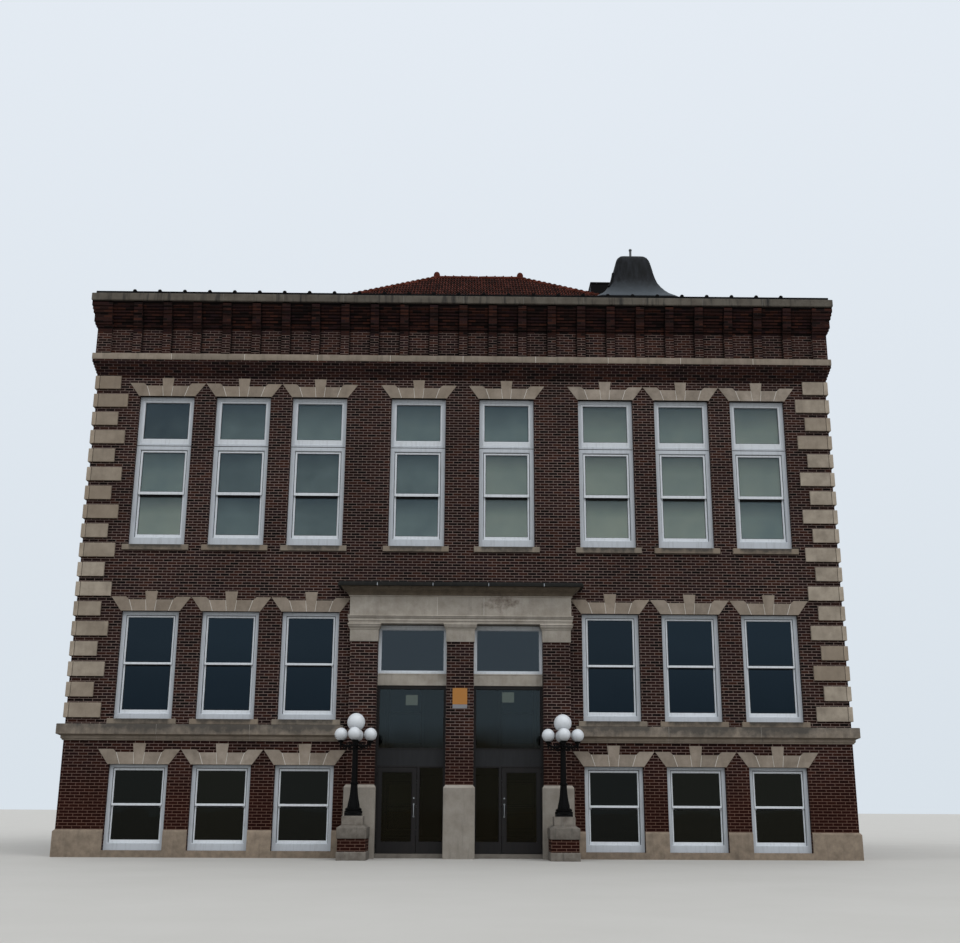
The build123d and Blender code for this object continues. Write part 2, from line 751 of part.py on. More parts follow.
def door(x, latch, sign):
    """A glazed door leaf with its hinge halves and an outside pull, and its pane."""
    y = (STOREFRONT_RECESS, STOREFRONT_RECESS + LEAF_THICKNESS)
    z = (GROUND_SLAB + LEAF_FOOT_GAP, HEAD_PANEL_BOTTOM - LEAF_HEAD_GAP)
    light_x = (x[0] + LEAF_STILE, x[1] - LEAF_STILE)
    light_z = (z[0] + LEAF_FOOT_RAIL, z[1] - LEAF_TOP_RAIL)
    leaf = block(x, y, z) - block(light_x, (y[0] - CUT, y[1] + CUT), light_z)
    axis_x = latch + sign * (LEAF_WIDTH + HINGE_GAP / 2)
    leaf += hinge_halves(axis_x, -sign, 1)
    pull_x = latch + sign * PULL_INSET
    bar_x = (pull_x - PULL_SECTION / 2, pull_x + PULL_SECTION / 2)
    bar_y = (y[0] - PULL_STAND, y[0] - PULL_STAND + PULL_SECTION)
    leaf += block(bar_x, bar_y, (PULL_HEIGHT - PULL_LENGTH / 2, PULL_HEIGHT + PULL_LENGTH / 2))
    for end in (-1, 1):
        foot = PULL_HEIGHT + end * (PULL_LENGTH - PULL_SECTION) / 2
        leaf += block(bar_x, (bar_y[1], y[0]), (foot - PULL_SECTION / 2, foot + PULL_SECTION / 2))
    middle = sum(y) / 2
    return leaf, block(light_x, (middle, middle + GLASS), light_z)


def pedestal(sign):
    """A stone and brick pedestal that runs out from the pier base to carry a lamp."""
    x = sign * LAMP_X
    back = -PIER_PROUD - PIER_BASE_PROUD
    nose = -LAMP_STAND - PEDESTAL_HALF

    def layer(half, inset, bottom, top):
        return block((x - half, x + half), (nose + inset, back), (bottom, top))

    body = layer(PEDESTAL_HALF, 0, 0, PEDESTAL_BASE_TOP)
    brick_half = PEDESTAL_HALF - PEDESTAL_BRICK_INSET
    body += layer(brick_half, PEDESTAL_BRICK_INSET, PEDESTAL_BASE_TOP, PEDESTAL_BRICK_TOP)
    body += layer(PEDESTAL_HALF, 0, PEDESTAL_BRICK_TOP, PEDESTAL_CAP_TOP)
    inset = PEDESTAL_HALF - PEDESTAL_BLOCK_HALF
    wide = rectangle_ring((x - PEDESTAL_HALF, x + PEDESTAL_HALF), (nose, back), PEDESTAL_CAP_TOP)
    narrow_x = (x - PEDESTAL_BLOCK_HALF, x + PEDESTAL_BLOCK_HALF)
    narrow = rectangle_ring(narrow_x, (nose + inset, back - inset), PEDESTAL_SLOPE_TOP)
    body += polyhedron([wide, narrow])
    depth = (nose + inset, nose + inset + 2 * PEDESTAL_BLOCK_HALF)
    return body + block(narrow_x, depth, (PEDESTAL_SLOPE_TOP, PEDESTAL_TOP))


def lamp_post():
    """A cast-iron lamp standard about the Z axis, with four arms and five fitters."""
    foot = PEDESTAL_TOP
    side_foot = globe_foot(SIDE_GLOBE, SIDE_GLOBE_HEIGHT)
    top_foot = globe_foot(TOP_GLOBE, TOP_GLOBE_HEIGHT)
    profile = [(radius, foot + height) for radius, height in LAMP_PROFILE]
    profile += [
        (LAMP_NECK, side_foot - LAMP_NECK_DROP),
        (LAMP_RING, side_foot - LAMP_RING_DROP),
        (LAMP_HUB, side_foot - ARM_DROP),
        (LAMP_STEM, side_foot + LAMP_HUB),
        (LAMP_STEM, top_foot - LAMP_HUB),
        (FITTER_TOP, top_foot),
    ]
    post = turned(profile, LAMP_SIDES)
    arm_z = (side_foot - ARM_DROP - ARM_HEIGHT, side_foot - ARM_DROP)
    for turn in range(4):
        arm = block((0, SIDE_GLOBE_REACH + ARM_END), (-ARM_WIDTH / 2, ARM_WIDTH / 2), arm_z)
        fitter = turned([(FITTER_FOOT, arm_z[0] - ARM_END), (LAMP_HUB, side_foot)], LAMP_SIDES)
        fitter = Pos(SIDE_GLOBE_REACH, 0, 0) * fitter
        post += Rot(0, 0, turn * 90) * (arm + fitter)
    return post


def make_lamps():
    """The two five-globe lamp standards on their pedestals."""
    globes = [globe(TOP_GLOBE, TOP_GLOBE_HEIGHT)]
    for turn in range(4):
        side_globe = Pos(SIDE_GLOBE_REACH, 0, 0) * globe(SIDE_GLOBE, SIDE_GLOBE_HEIGHT)
        globes.append(Rot(0, 0, turn * 90) * side_globe)
    places = [Pos(sign * LAMP_X, -LAMP_STAND, 0) for sign in (-1, 1)]
    return {
        "lamp_pedestals": front(Part() + [pedestal(-1), pedestal(1)]),
        "lamp_posts": front(Part() + [place * lamp_post() for place in places]),
        "lamp_globes": front(Part() + [place * ball for place in places for ball in globes]),
    }


def hip(inset):
    """A hipped roof volume on the deck, moved in from the eaves."""
    rise = ROOF_RISE - inset * ROOF_SLOPE
    x = (EAVE_LEFT + inset, EAVE_RIGHT - inset)
    y = (-EAVE_HALF_DEPTH + inset, EAVE_HALF_DEPTH - inset)
    ends = (x[0] + y[1], x[1] - y[1])
    a, b, c, d = rectangle_ring(x, y, DECK_TOP)
    left, right = (ends[0], 0, DECK_TOP + rise), (ends[1], 0, DECK_TOP + rise)
    outlines = [(a, b, c, d), (a, b, right, left), (b, c, right), (c, d, left, right), (d, a, left)]
    return Solid(Shell([Face(Wire.make_polygon(points)) for points in outlines]))


def bar(start, end, outline):
    """A straight bar between two points, from its outline across and above their line."""
    ahead = (end - start).normalized()
    across = Vector(0, 0, 1).cross(ahead).normalized()
    up = ahead.cross(across)
    return polyhedron([[tuple(point + across * a + up * b) for a, b in outline] for point in (start, end)])


def make_rolls():
    """The rolls that cover the four hips and the ridge, with their crowns on the roof's outline."""
    ends = (EAVE_LEFT + EAVE_HALF_DEPTH, EAVE_RIGHT - EAVE_HALF_DEPTH)
    ridge = [Vector(x, 0, DECK_TOP + ROOF_RISE) for x in ends]
    rolls = [bar(*ridge, ROLL_OUTLINE)]
    for eave, top, inward in ((EAVE_LEFT, ridge[0], 1), (EAVE_RIGHT, ridge[1], -1)):
        for side in (-1, 1):
            x, y = eave + inward * ROLL_START, side * (EAVE_HALF_DEPTH - ROLL_START)
            start = Vector(x, y, DECK_TOP + ROLL_START * ROOF_SLOPE)
            rolls.append(bar(start, top, ROLL_OUTLINE))
    return rolls


def bell_profile():
    """Half the ogee outline of the ventilator, from its lip to its flat top."""
    lip = (BELL_HALF, 0)
    flare = (BELL_HALF, BELL_LIP)
    waist = (BELL_WAIST_HALF, BELL_WAIST_HEIGHT)
    shoulder = (BELL_SHOULDER_HALF, BELL_SHOULDER_HEIGHT)
    top = (BELL_TOP_HALF, BELL_HEIGHT)
    right = Line(lip, flare) + RadiusArc(flare, waist, BELL_FLARE_RADIUS)
    right += Line(waist, shoulder) + RadiusArc(shoulder, top, -BELL_CROWN_RADIUS)
    left = mirror(right, about=Plane.YZ)
    return make_face(right + left + Line(top, (-top[0], top[1])) + Line(lip, (-lip[0], lip[1])))


def make_roof():
    """The hipped roof behind the parapet, the bell-shaped ventilator and a low hatch."""
    whole = hip(TILE_DROP / ROOF_SLOPE)
    face = bell_profile()
    along_x = Plane.XZ * extrude(face, BELL_HALF, both=True)
    bell = along_x & (Rot(0, 0, 90) * along_x)
    bell = Pos(BELL_X, BELL_Y, BELL_BASE) * bell
    rod_top = BELL_BASE + BELL_HEIGHT + BELL_ROD_HEIGHT
    rod = turned([(BELL_ROD, BELL_BASE + BELL_HEIGHT), (BELL_ROD, rod_top)], LAMP_SIDES)
    bell += Pos(BELL_X, BELL_Y, 0) * rod
    curb_x = (BELL_X - BELL_CURB_HALF, BELL_X + BELL_CURB_HALF)
    curb = block(curb_x, (BELL_Y - BELL_CURB_HALF, BELL_Y + BELL_CURB_HALF), (DECK_TOP, BELL_BASE))
    hatch_x = tuple(BELL_X + place for place in HATCH_FROM_BELL)
    hatch_y = HATCH_FROM_EAVE - EAVE_HALF_DEPTH
    hatch_top = DECK_TOP + (EAVE_RIGHT - hatch_x[0]) * ROOF_SLOPE + HATCH_RISE
    hatch = block(hatch_x, (hatch_y, hatch_y + HATCH_DEPTH), (DECK_TOP, hatch_top))
    slopes = whole - hip(TILE_DROP / ROOF_SLOPE + ROOF_EDGE)
    tiled = slopes + make_rolls()
    return {
        "hip_roof": tiled,
        "ridge_finials": make_finials(tiled),
        "bell_vent": bell - whole,
        "vent_curb": curb - whole,
        "roof_hatch": hatch - whole,
    }


def make_finials(roof):
    """The two turned knobs at the ends of the ridge."""
    ridge = DECK_TOP + ROOF_RISE
    ends = (EAVE_LEFT + EAVE_HALF_DEPTH, EAVE_RIGHT - EAVE_HALF_DEPTH)
    knob = turned([(radius, ridge + height) for radius, height in FINIAL_PROFILE], FINIAL_SIDES)
    return Part() + [Pos(x, 0, 0) * knob - roof for x in ends]


def make_pendants():
    """The globe lights that hang in the lobby from the floor above."""
    top = UPPER_FLOOR_TOP - UPPER_FLOOR_THICKNESS
    centre = top - PENDANT_DROP
    crown = 2 * centre - globe_foot(PENDANT_GLOBE, centre)
    half = PENDANT_ROD / 2
    light = globe(PENDANT_GLOBE, centre) + block((-half, half), (-half, half), (crown, top))
    return Part() + [front(Pos(sign * PENDANT_X, PENDANT_FROM_FRONT, 0) * light) for sign in (-1, 1)]


def make_plate():
    """The small plain plate on the middle pier."""
    plate_y = (-PIER_PROUD - PLATE_THICKNESS, -PIER_PROUD)
    return front(block((-PLATE_HALF, PLATE_HALF), plate_y, (PLATE_BOTTOM, PLATE_TOP)))


def build():
    """All sub-parts by name."""
    nodes = {}
    nodes.update(make_walls())
    nodes.update(make_floors())
    nodes["plinth"] = make_plinth()
    nodes["belt_course"] = make_belt()
    nodes["quoins"] = make_quoins()
    nodes["window_lintels"] = make_lintels()
    nodes["window_sills"] = make_sills()
    nodes.update(make_windows())
    nodes.update(make_bands())
    nodes["parapet_pilasters"] = make_pilasters()
    nodes.update(make_entrance())
    nodes.update(make_storefront())
    nodes.update(make_lamps())
    nodes.update(make_roof())
    nodes["lobby_lights"] = make_pendants()
    nodes["sign_plate"] = make_plate()
    return nodes


os.makedirs("parts", exist_ok=True)
for node, shape in build().items():
    export_step(shape, f"parts/{node}.step")
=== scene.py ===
"""The dressed town hall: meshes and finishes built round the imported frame, in metres."""

import logging
import math
import random
from collections.abc import Callable, Iterable, Mapping, Sequence
from dataclasses import dataclass, field
from enum import Enum

import bmesh
import bpy
from mathutils import Matrix, Vector


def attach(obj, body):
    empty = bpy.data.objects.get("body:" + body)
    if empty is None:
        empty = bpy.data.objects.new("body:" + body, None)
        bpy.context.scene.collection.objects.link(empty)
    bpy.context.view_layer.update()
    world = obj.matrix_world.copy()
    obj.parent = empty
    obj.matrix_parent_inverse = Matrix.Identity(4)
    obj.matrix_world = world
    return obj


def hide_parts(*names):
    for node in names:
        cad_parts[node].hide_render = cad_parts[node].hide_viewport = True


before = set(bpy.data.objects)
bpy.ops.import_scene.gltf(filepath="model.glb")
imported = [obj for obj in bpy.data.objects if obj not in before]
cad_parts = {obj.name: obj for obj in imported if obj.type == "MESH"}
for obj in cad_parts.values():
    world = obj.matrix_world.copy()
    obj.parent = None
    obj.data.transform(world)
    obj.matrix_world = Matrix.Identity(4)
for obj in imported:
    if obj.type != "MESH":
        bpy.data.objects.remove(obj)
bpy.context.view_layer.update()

LOG = logging.getLogger("town_hall")
Point = Sequence[float]
Pair = tuple[float, float]
Triple = tuple[float, float, float]
Band = tuple[float, Sequence[Pair]]  # a tone, and heights with how far the faces stand out there
Stain = Callable[[float, float, float], float]  # from a place along the wall, a projection and a height
Socket = bpy.types.NodeSocket

# Sizes shared with the construction
COURSE = 0.2032 / 3
HALF_WIDTH = 9.144
HALF_DEPTH = 7.62
WALL = 0.41
WINDOW_HALF = 0.68
PIER_HALF = 0.32
PIER_PITCH = 2.265
PIER_PROUD = 0.2
ENTRY_HALF = PIER_PITCH - PIER_HALF
PIER_OUTER = PIER_PITCH + PIER_HALF
STOREFRONT_MIDDLE = (PIER_HALF + ENTRY_HALF) / 2

JOINT_TONE = 1.0  # a face of this tone is a mortar joint
SHARP = math.radians(35)
SIGNS = (-1, 1)
UP = Vector((0, 0, 1))


class Slot(Enum):
    """The record's material slots."""

    BRICK = "brick"
    STONE = "limestone"
    DARK_STONE = "dark_limestone"
    BOARDS = "floor_boards"
    WHITE_FRAME = "white_frame"
    GLASS = "glass"
    SHADE = "shade_cloth"
    SHEET = "dark_sheet"
    BRONZE = "bronze_aluminium"
    IRON = "black_iron"
    OPAL = "opal_glass"
    TILE = "clay_tile"
    LEAD = "lead_sheet"
    SIGN = "sign_paint"


class Body(Enum):
    """The bodies that pieces ride on."""

    BUILDING = "building"
    LEFT_LEAF = "left_leaf"
    RIGHT_LEAF = "right_leaf"


class Storey(Enum):
    """The three storeys, as the window sill and head."""

    GROUND = (0.15, 2.04)
    MAIN = (3.068, 5.585)
    UPPER = (7.195, 10.98)


class Side(Enum):
    """The four sides, as the turn from the front, the reach of the brick face, half its length and its window bays."""

    FRONT = (0, HALF_DEPTH, HALF_WIDTH, (-7.38, -5.475, -3.57, 3.57, 5.475, 7.38))
    RIGHT = (90, HALF_WIDTH, HALF_DEPTH, (-4.4, 0.0, 4.4))
    REAR = (180, HALF_DEPTH, HALF_WIDTH, (-6.0, -2.0, 2.0, 6.0))
    LEFT = (-90, HALF_WIDTH, HALF_DEPTH, (-4.4, 0.0, 4.4))

    @property
    def half(self) -> float:
        """Half the length of the brick face."""
        return self.value[2]

    @property
    def matrix(self) -> Matrix:
        """Moves a shape drawn with the wall face at Y = 0, facing -Y, onto this side."""
        turn, reach = self.value[:2]
        return at(turn=turn) @ at(y=-reach)

    def bays(self, storey: Storey) -> tuple[float, ...]:
        """The window centres along this side of a storey: the front has two more on the upper one."""
        middle = (-1.1, 1.1) if self is Side.FRONT and storey is Storey.UPPER else ()
        return self.value[3] + middle


def at(x: float = 0.0, y: float = 0.0, z: float = 0.0, turn: float = 0.0) -> Matrix:
    """A place, turned about its upright axis by so many degrees."""
    return Matrix.Translation((x, y, z)) @ Matrix.Rotation(math.radians(turn), 4, "Z")


def ordered(a: float, b: float) -> Pair:
    """Two places in order."""
    return (min(a, b), max(a, b))


FRONT = Side.FRONT.matrix


def hex_linear(code: str) -> tuple[float, float, float, float]:
    """Turns an sRGB hex colour to linear light.

    Args:
        code: Six hex digits.

    Returns:
        Red, green, blue and an alpha of 1.
    """
    parts = [int(code[i : i + 2], 16) / 255 for i in (0, 2, 4)]
    linear = [c / 12.92 if c <= 0.04045 else ((c + 0.055) / 1.055) ** 2.4 for c in parts]
    return (*linear, 1.0)


def add_node(
    tree: bpy.types.NodeTree,
    kind: str,
    inputs: Sequence[object] | Mapping[int | str, object] = (),
    out: int | str = 0,
    stops: Iterable[tuple[float, str]] = (),
    **settings: object,
) -> Socket | None:
    """Adds a node with its settings and links.

    Args:
        tree: The node tree.
        kind: The node's type name.
        inputs: Values or sockets, in order or by input name or number. A socket is linked, and a hex colour turned.
        out: The output to hand back.
        stops: Positions and hex colours of a colour ramp.
        **settings: Properties of the node.

    Returns:
        The output, or None from a node that has none.
    """
    node = tree.nodes.new(kind)
    for name, value in settings.items():
        setattr(node, name, value)
    for key, value in inputs.items() if isinstance(inputs, Mapping) else enumerate(inputs):
        socket = node.inputs[key]
        if isinstance(value, Socket):
            tree.links.new(value, socket)
        else:
            socket.default_value = hex_linear(value) if socket.type == "RGBA" and isinstance(value, str) else value
    for index, (place, code) in enumerate(stops):
        elements = node.color_ramp.elements
        element = elements[index] if index < 2 else elements.new(place)
        element.position, element.color = place, hex_linear(code)
    return node.outputs[out] if node.outputs else None


class Palette:
    """Mixes the patterns and colours of one finish."""

    def __init__(self, tree: bpy.types.NodeTree) -> None:
        """Empties the tree."""
        self.tree = tree
        tree.nodes.clear()

    def add(self, kind: str, *inputs: object, **settings: object) -> Socket | None:
        """Adds a shader node.

        Args:
            kind: Its kind, and after a space its operation.
            *inputs: Its inputs in order, or one mapping of names or numbers to inputs.
            **settings: What the node function takes besides.

        Returns:
            The output.
        """
        kind, *operation = kind.split()
        if operation:
            settings["operation"] = operation[0]
        given = inputs[0] if inputs and isinstance(inputs[0], Mapping) else inputs
        return add_node(self.tree, "ShaderNode" + kind, given, **settings)

    def place(self, space: str = "Object") -> Sequence[Socket]:
        """The three coordinates of the point, or of its normal."""
        return self.add("SeparateXYZ", self.add("TexCoord", out=space)).node.outputs

    def mottle(self, size: float, detail: float = 4.0, stretch: Point = (1, 1, 1)) -> Socket:
        """A cloudy pattern fixed to the object.

        Args:
            size: The size of a patch in metres.
            detail: The number of finer layers.
            stretch: How many times longer a patch is along each axis.

        Returns:
            A number from 0 to 1 over the surface.
        """
        scale = [1 / (size * axis) for axis in stretch]
        spread = self.add("Mapping", {"Vector": self.add("TexCoord", out="Object"), "Scale": scale})
        return self.add("TexNoise", {"Vector": spread, "Scale": 1.0, "Detail": detail, "Roughness": 0.6})

    def coat(self, color: object, *coats: tuple[object, object]) -> Socket:
        """Lays coats over a colour.

        Args:
            color: The colour under them.
            *coats: The share and the colour of each coat.

        Returns:
            The resulting colour.
        """
        for share, over in coats:
            color = self.add("Mix", {0: share, 6: color, 7: over}, out=2, data_type="RGBA")
        return color

    def surface(
        self, color: object, rough: object, height: Socket | None = None, depth: float = 0.002, **more: object
    ) -> Socket:
        """An opaque surface.

        Args:
            color: The colour.
            rough: The roughness.
            height: A pattern that stands up from the surface.
            depth: How far it stands up, in metres.
            **more: Other values of the shader, with an underscore for a space.

        Returns:
            The shader.
        """
        inputs = {"Base Color": color, "Roughness": rough}
        inputs.update({name.replace("_", " "): value for name, value in more.items()})
        if height is not None:
            inputs["Normal"] = self.add("Bump", {"Height": height, "Distance": depth, "Strength": 1.0})
        return self.add("BsdfPrincipled", inputs)


@dataclass(frozen=True)
class Finish:
    """A surface finish, named for its real material."""

    name: str
    slot: Slot

    def dress(self, mix: Palette) -> Socket:
        """Builds the finish and returns its shader."""
        raise NotImplementedError

    def material(self) -> bpy.types.Material:
        """The material, built once.

        Returns:
            The Blender material.
        """
        found = bpy.data.materials.get(self.name)
        if not found:
            found = bpy.data.materials.new(self.name)
            found.use_nodes = True
            mix = Palette(found.node_tree)
            mix.add("OutputMaterial", self.dress(mix))
        return found


@dataclass(frozen=True)
class FaceBrick(Finish):
    """Pressed face brick in running bond, dark red to plum, with recessed joints. Dull, with a fine sandy skin."""

    slot: Slot = Slot.BRICK
    length: float = 0.2139
    joint: float = 0.0062
    bricks: tuple[str, ...] = ("130c0b", "241512", "2c1814", "211416", "361e17")
    mortar: str = "9a877f"
    plaster: str = "8d8a80"  # on the inner faces
    shade: float = 1.0
    bed: float = 0.0  # how dark the painted shade in the bed joints is
    fade: str = ""  # the mortar's colour above the fade's foot
    fade_foot: float = 0.0
    warm: tuple[float, float, float, float] = (3.0, 1.2, 0.0, 0.75)  # redder from the first height down to the second
    inner: Pair = (HALF_WIDTH - 0.244, HALF_DEPTH - 0.25)

    def face(self, mix: Palette, bond: Socket, height: Socket) -> Socket:
        """The bricks and their mortar, redder towards the ground and clouded.

        Args:
            mix: The palette.
            bond: The bricks' own shades.
            height: The height over the ground.

        Returns:
            The colour.
        """
        steps = [(0.1 + 0.2 * i, code) for i, code in enumerate(self.bricks)]
        low = mix.add("MapRange", height, *self.warm)
        warm = mix.coat(mix.add("ValToRGB", bond, stops=steps), (low, "2a0e07"))
        shade = mix.add("MapRange", mix.mottle(1.6, 3.0), 0.3, 0.7, 0.78 * self.shade, 1.2 * self.shade)
        mortar = mix.coat(self.mortar, (mix.mottle(0.4), "6f605a"), (low, "6b4b3d"))
        if self.fade:
            above = mix.add("MapRange", height, self.fade_foot - 0.02, self.fade_foot + 0.02)
            mortar = mix.coat(mortar, (above, self.fade))
        face = mix.coat(warm, (bond.node.outputs["Fac"], mortar))
        return mix.add("HueSaturation", {"Value": shade, "Color": face})

    def dress(self, mix: Palette) -> Socket:
        """Lays the bricks by height and by the place along the wall, paints shade on them and plasters the inner faces.

        Args:
            mix: The palette.

        Returns:
            The shader.
        """
        place, facing = mix.place(), mix.place("Normal")
        sideways = mix.add("Math GREATER_THAN", mix.add("Math ABSOLUTE", facing[0]), 0.5)
        level = mix.add("Math GREATER_THAN", mix.add("Math ABSOLUTE", facing[2]), 0.7)
        along = mix.add("Mix", {0: sideways, 2: place[0], 3: place[1]})
        up = mix.add("Mix", {0: level, 2: place[2], 3: place[1]})
        sizes = {"Mortar Size": self.joint, "Mortar Smooth": 0.1, "Brick Width": self.length, "Row Height": COURSE}
        greys = {"Color1": "000000", "Color2": "ffffff", "Mortar": "000000"}
        bond = mix.add("TexBrick", {"Vector": mix.add("CombineXYZ", along, up), "Scale": 1.0, **sizes, **greys})
        # painted shade: faces that look down, the stain attribute and, where bed is set, the bed joints are darkened
        # towards near black
        soot_and_shade = mix.add("Math MULTIPLY", mix.add("Math LESS_THAN", facing[2], -0.5), 0.85)
        soot_and_shade = mix.add("Math MAXIMUM", soot_and_shade, mix.add("Attribute", out="Fac", attribute_name="stain"))
        if self.bed:
            near = mix.add("Math LESS_THAN", mix.add("Math PINGPONG", up, COURSE / 2), self.joint * 1.3)
            soot_and_shade = mix.add("Math MAXIMUM", soot_and_shade, mix.add("Math MULTIPLY", near, self.bed))
        inside = [mix.add("Math LESS_THAN", mix.add("Math ABSOLUTE", place[axis]), self.inner[axis]) for axis in (0, 1)]
        inside = mix.add("Math MULTIPLY", *inside)
        color = mix.coat(self.face(mix, bond, place[2]), (soot_and_shade, "0b0706"), (inside, self.plaster))
        raised = mix.add("Math SUBTRACT", 1.0, bond.node.outputs["Fac"])
        raised = mix.add("Math MULTIPLY_ADD", mix.mottle(0.012, 2.0), 0.25, raised)
        return mix.surface(color, 0.9, raised, 0.005, Specular_IOR_Level=0.1)


@dataclass(frozen=True)
class Limestone(Finish):
    """Sawn limestone, open-grained and dull, with weather stains and pale lime joints."""

    slot: Slot = Slot.STONE
    pale: str = "8c8276"
    deep: str = "6f665b"
    stain: str = "36332f"
    joint: str = "99938b"
    tan: str = "8c7b68"  # some stones are this shade
    streak: float = 0.35
    patch: float = 0.3
    rust: tuple[float, float, float, float] | None = None  # a rust stain's X and Z, and its reach along each

    def rusted(self, mix: Palette) -> Socket:
        """How rusty the stone is round the middle of its rust stain.

        Args:
            mix: The palette.

        Returns:
            The share of rust.
        """
        place = mix.place()
        far = []
        for axis, middle, reach in zip((0, 2), self.rust[:2], self.rust[2:]):
            off = mix.add("Math DIVIDE", mix.add("Math SUBTRACT", place[axis], middle), reach)
            far.append(mix.add("Math MULTIPLY", off, off))
        clean = mix.add("Math MULTIPLY", mix.add("Math ADD", *far), 0.35)
        near = mix.add("Math SUBTRACT", mix.mottle(0.12, 5.0), clean)
        return mix.add("MapRange", near, 0.3, 0.6, 0.0, 0.7)

    def dress(self, mix: Palette) -> Socket:
        """Mottles each stone, lets rain streaks run down it and darkens what the mesh calls stained.

        Args:
            mix: The palette.

        Returns:
            The shader.
        """
        names = ("tone", "each", "stain")
        tone, each, stain_and_shade = (mix.add("Attribute", out="Fac", attribute_name=name) for name in names)
        grain = mix.mottle(0.018, 3.0)
        stone = mix.add("ValToRGB", mix.mottle(self.patch, 5.0), stops=[(0.3, self.deep), (0.7, self.pale)])
        stone = mix.coat(stone, (mix.add("Math MULTIPLY_ADD", each, -2.2, 0.2, use_clamp=True), self.tan))
        value = mix.add("Math MULTIPLY_ADD", mix.add("Math ADD", tone, each), 0.45, 1.0)
        value = mix.add("Math ADD", value, mix.add("Math MULTIPLY_ADD", grain, 0.3, -0.15))
        stone = mix.add("HueSaturation", {"Value": value, "Color": stone})
        run = mix.add("MapRange", mix.mottle(0.11, 3.0, (1, 1, 9)), 0.52, 0.72, 0.0, self.streak)
        dirt = mix.add("Math ADD", stain_and_shade, mix.mottle(0.17, 6.0))
        dirt = mix.add("MapRange", dirt, 0.85, 1.3, 0.0, 0.85)
        stone = mix.coat(stone, (run, self.stain), (dirt, self.stain))
        if self.rust:
            stone = mix.coat(stone, (self.rusted(mix), "4a3524"))
        color = mix.coat(stone, (mix.add("Math GREATER_THAN", tone, 0.9), self.joint))
        return mix.surface(color, 0.85, grain)


@dataclass(frozen=True)
class PaintedAluminium(Finish):
    """Baked white paint on aluminium windows, satin, greyed by rain at the outer frame."""

    slot: Slot = Slot.WHITE_FRAME
    frame_color: str = "b9bfc6"
    sash_color: str = "e2e6ea"

    def dress(self, mix: Palette) -> Socket:
        """Greys the frame and lets thin dirt run down it.

        Args:
            mix: The palette.

        Returns:
            The shader.
        """
        tone = mix.add("Attribute", out="Fac", attribute_name="tone")
        share = mix.add("Math MULTIPLY_ADD", tone, 1.0, 0.5, use_clamp=True)
        run = mix.mottle(0.05, 3.0, (1, 1, 8))
        dirt = mix.add("MapRange", run, 0.5, 0.8, 0.0, 0.3)
        color = mix.coat(self.frame_color, (share, self.sash_color), (dirt, "7d8080"))
        return mix.surface(color, mix.add("MapRange", {0: run, 3: 0.35, 4: 0.6}))


@dataclass(frozen=True)
class SheetMetal(Finish):
    """Painted or weathered sheet metal, with the marks of rain running down."""

    base: str = "1b1b18"
    worn: str = "2e2f2d"
    roughness: float = 0.5
    patch: float = 0.09
    length: float = 10.0
    foot: str = ""  # a brighter foot, between the two heights
    foot_levels: Pair = (14.8, 15.4)
    metal: float = 0.0
    gloss: float = 0.3

    def dress(self, mix: Palette) -> Socket:
        """Streaks the sheet, and brightens its foot where it has one.

        Args:
            mix: The palette.

        Returns:
            The shader.
        """
        run = mix.mottle(self.patch, 4.0, (1, 1, self.length))
        color = mix.add("ValToRGB", run, stops=[(0.35, self.base), (0.7, self.worn)])
        if self.foot:
            height = mix.add("Math MULTIPLY_ADD", mix.mottle(0.2), 0.35, mix.place()[2])
            color = mix.coat(color, (mix.add("MapRange", height, *reversed(self.foot_levels)), self.foot))
        rough = mix.add("MapRange", {0: run, 3: self.roughness - 0.1, 4: self.roughness + 0.15})
        return mix.surface(color, rough, run, Metallic=self.metal, Specular_IOR_Level=self.gloss)


@dataclass(frozen=True)
class WindowGlass(Finish):
    """Float glass that mirrors the sky a little in painted colours, and lets the room behind show dark through a tint
    that paints its shade, or lets the roller shade show.
    """

    slot: Slot = Slot.GLASS
    # painted shade: a dark tint dims the room behind the glass
    tint: str = "b9c8d2"
    mirror: str = "d5e4f2"
    other: str = "c8d2da"
    low: str = ""  # what the foot of the pane mirrors, between the two heights
    levels: Pair = (0.0, 1.0)
    ior: float = 1.5

    def dress(self, mix: Palette) -> Socket:
        """Mixes what shows through with a faintly wavy reflection.

        Args:
            mix: The palette.

        Returns:
            The shader.
        """
        # painted reflection: the mirrored colours tint the reflection bluish and differ window by window, and the low
        # colour paints what the foot of the pane would mirror
        each = mix.add("Attribute", out="Fac", attribute_name="each")
        spread = mix.add("Math MULTIPLY_ADD", each, 1.0, 0.5, use_clamp=True)
        color = mix.coat(self.mirror, (spread, self.other))
        if self.low:
            height = mix.add("Math MULTIPLY_ADD", mix.mottle(0.9, 2.0), 0.6, mix.place()[2])
            color = mix.coat(color, (mix.add("MapRange", height, *reversed(self.levels)), self.low))
        wave = mix.add("Bump", {"Height": mix.mottle(0.5, 1.0), "Distance": 0.0015})
        sky = mix.add("BsdfAnisotropic", {"Color": color, "Roughness": 0.02, "Normal": wave})
        through = mix.add("BsdfTransparent", self.tint)
        return mix.add("MixShader", mix.add("Fresnel", {"IOR": self.ior}), through, sky)


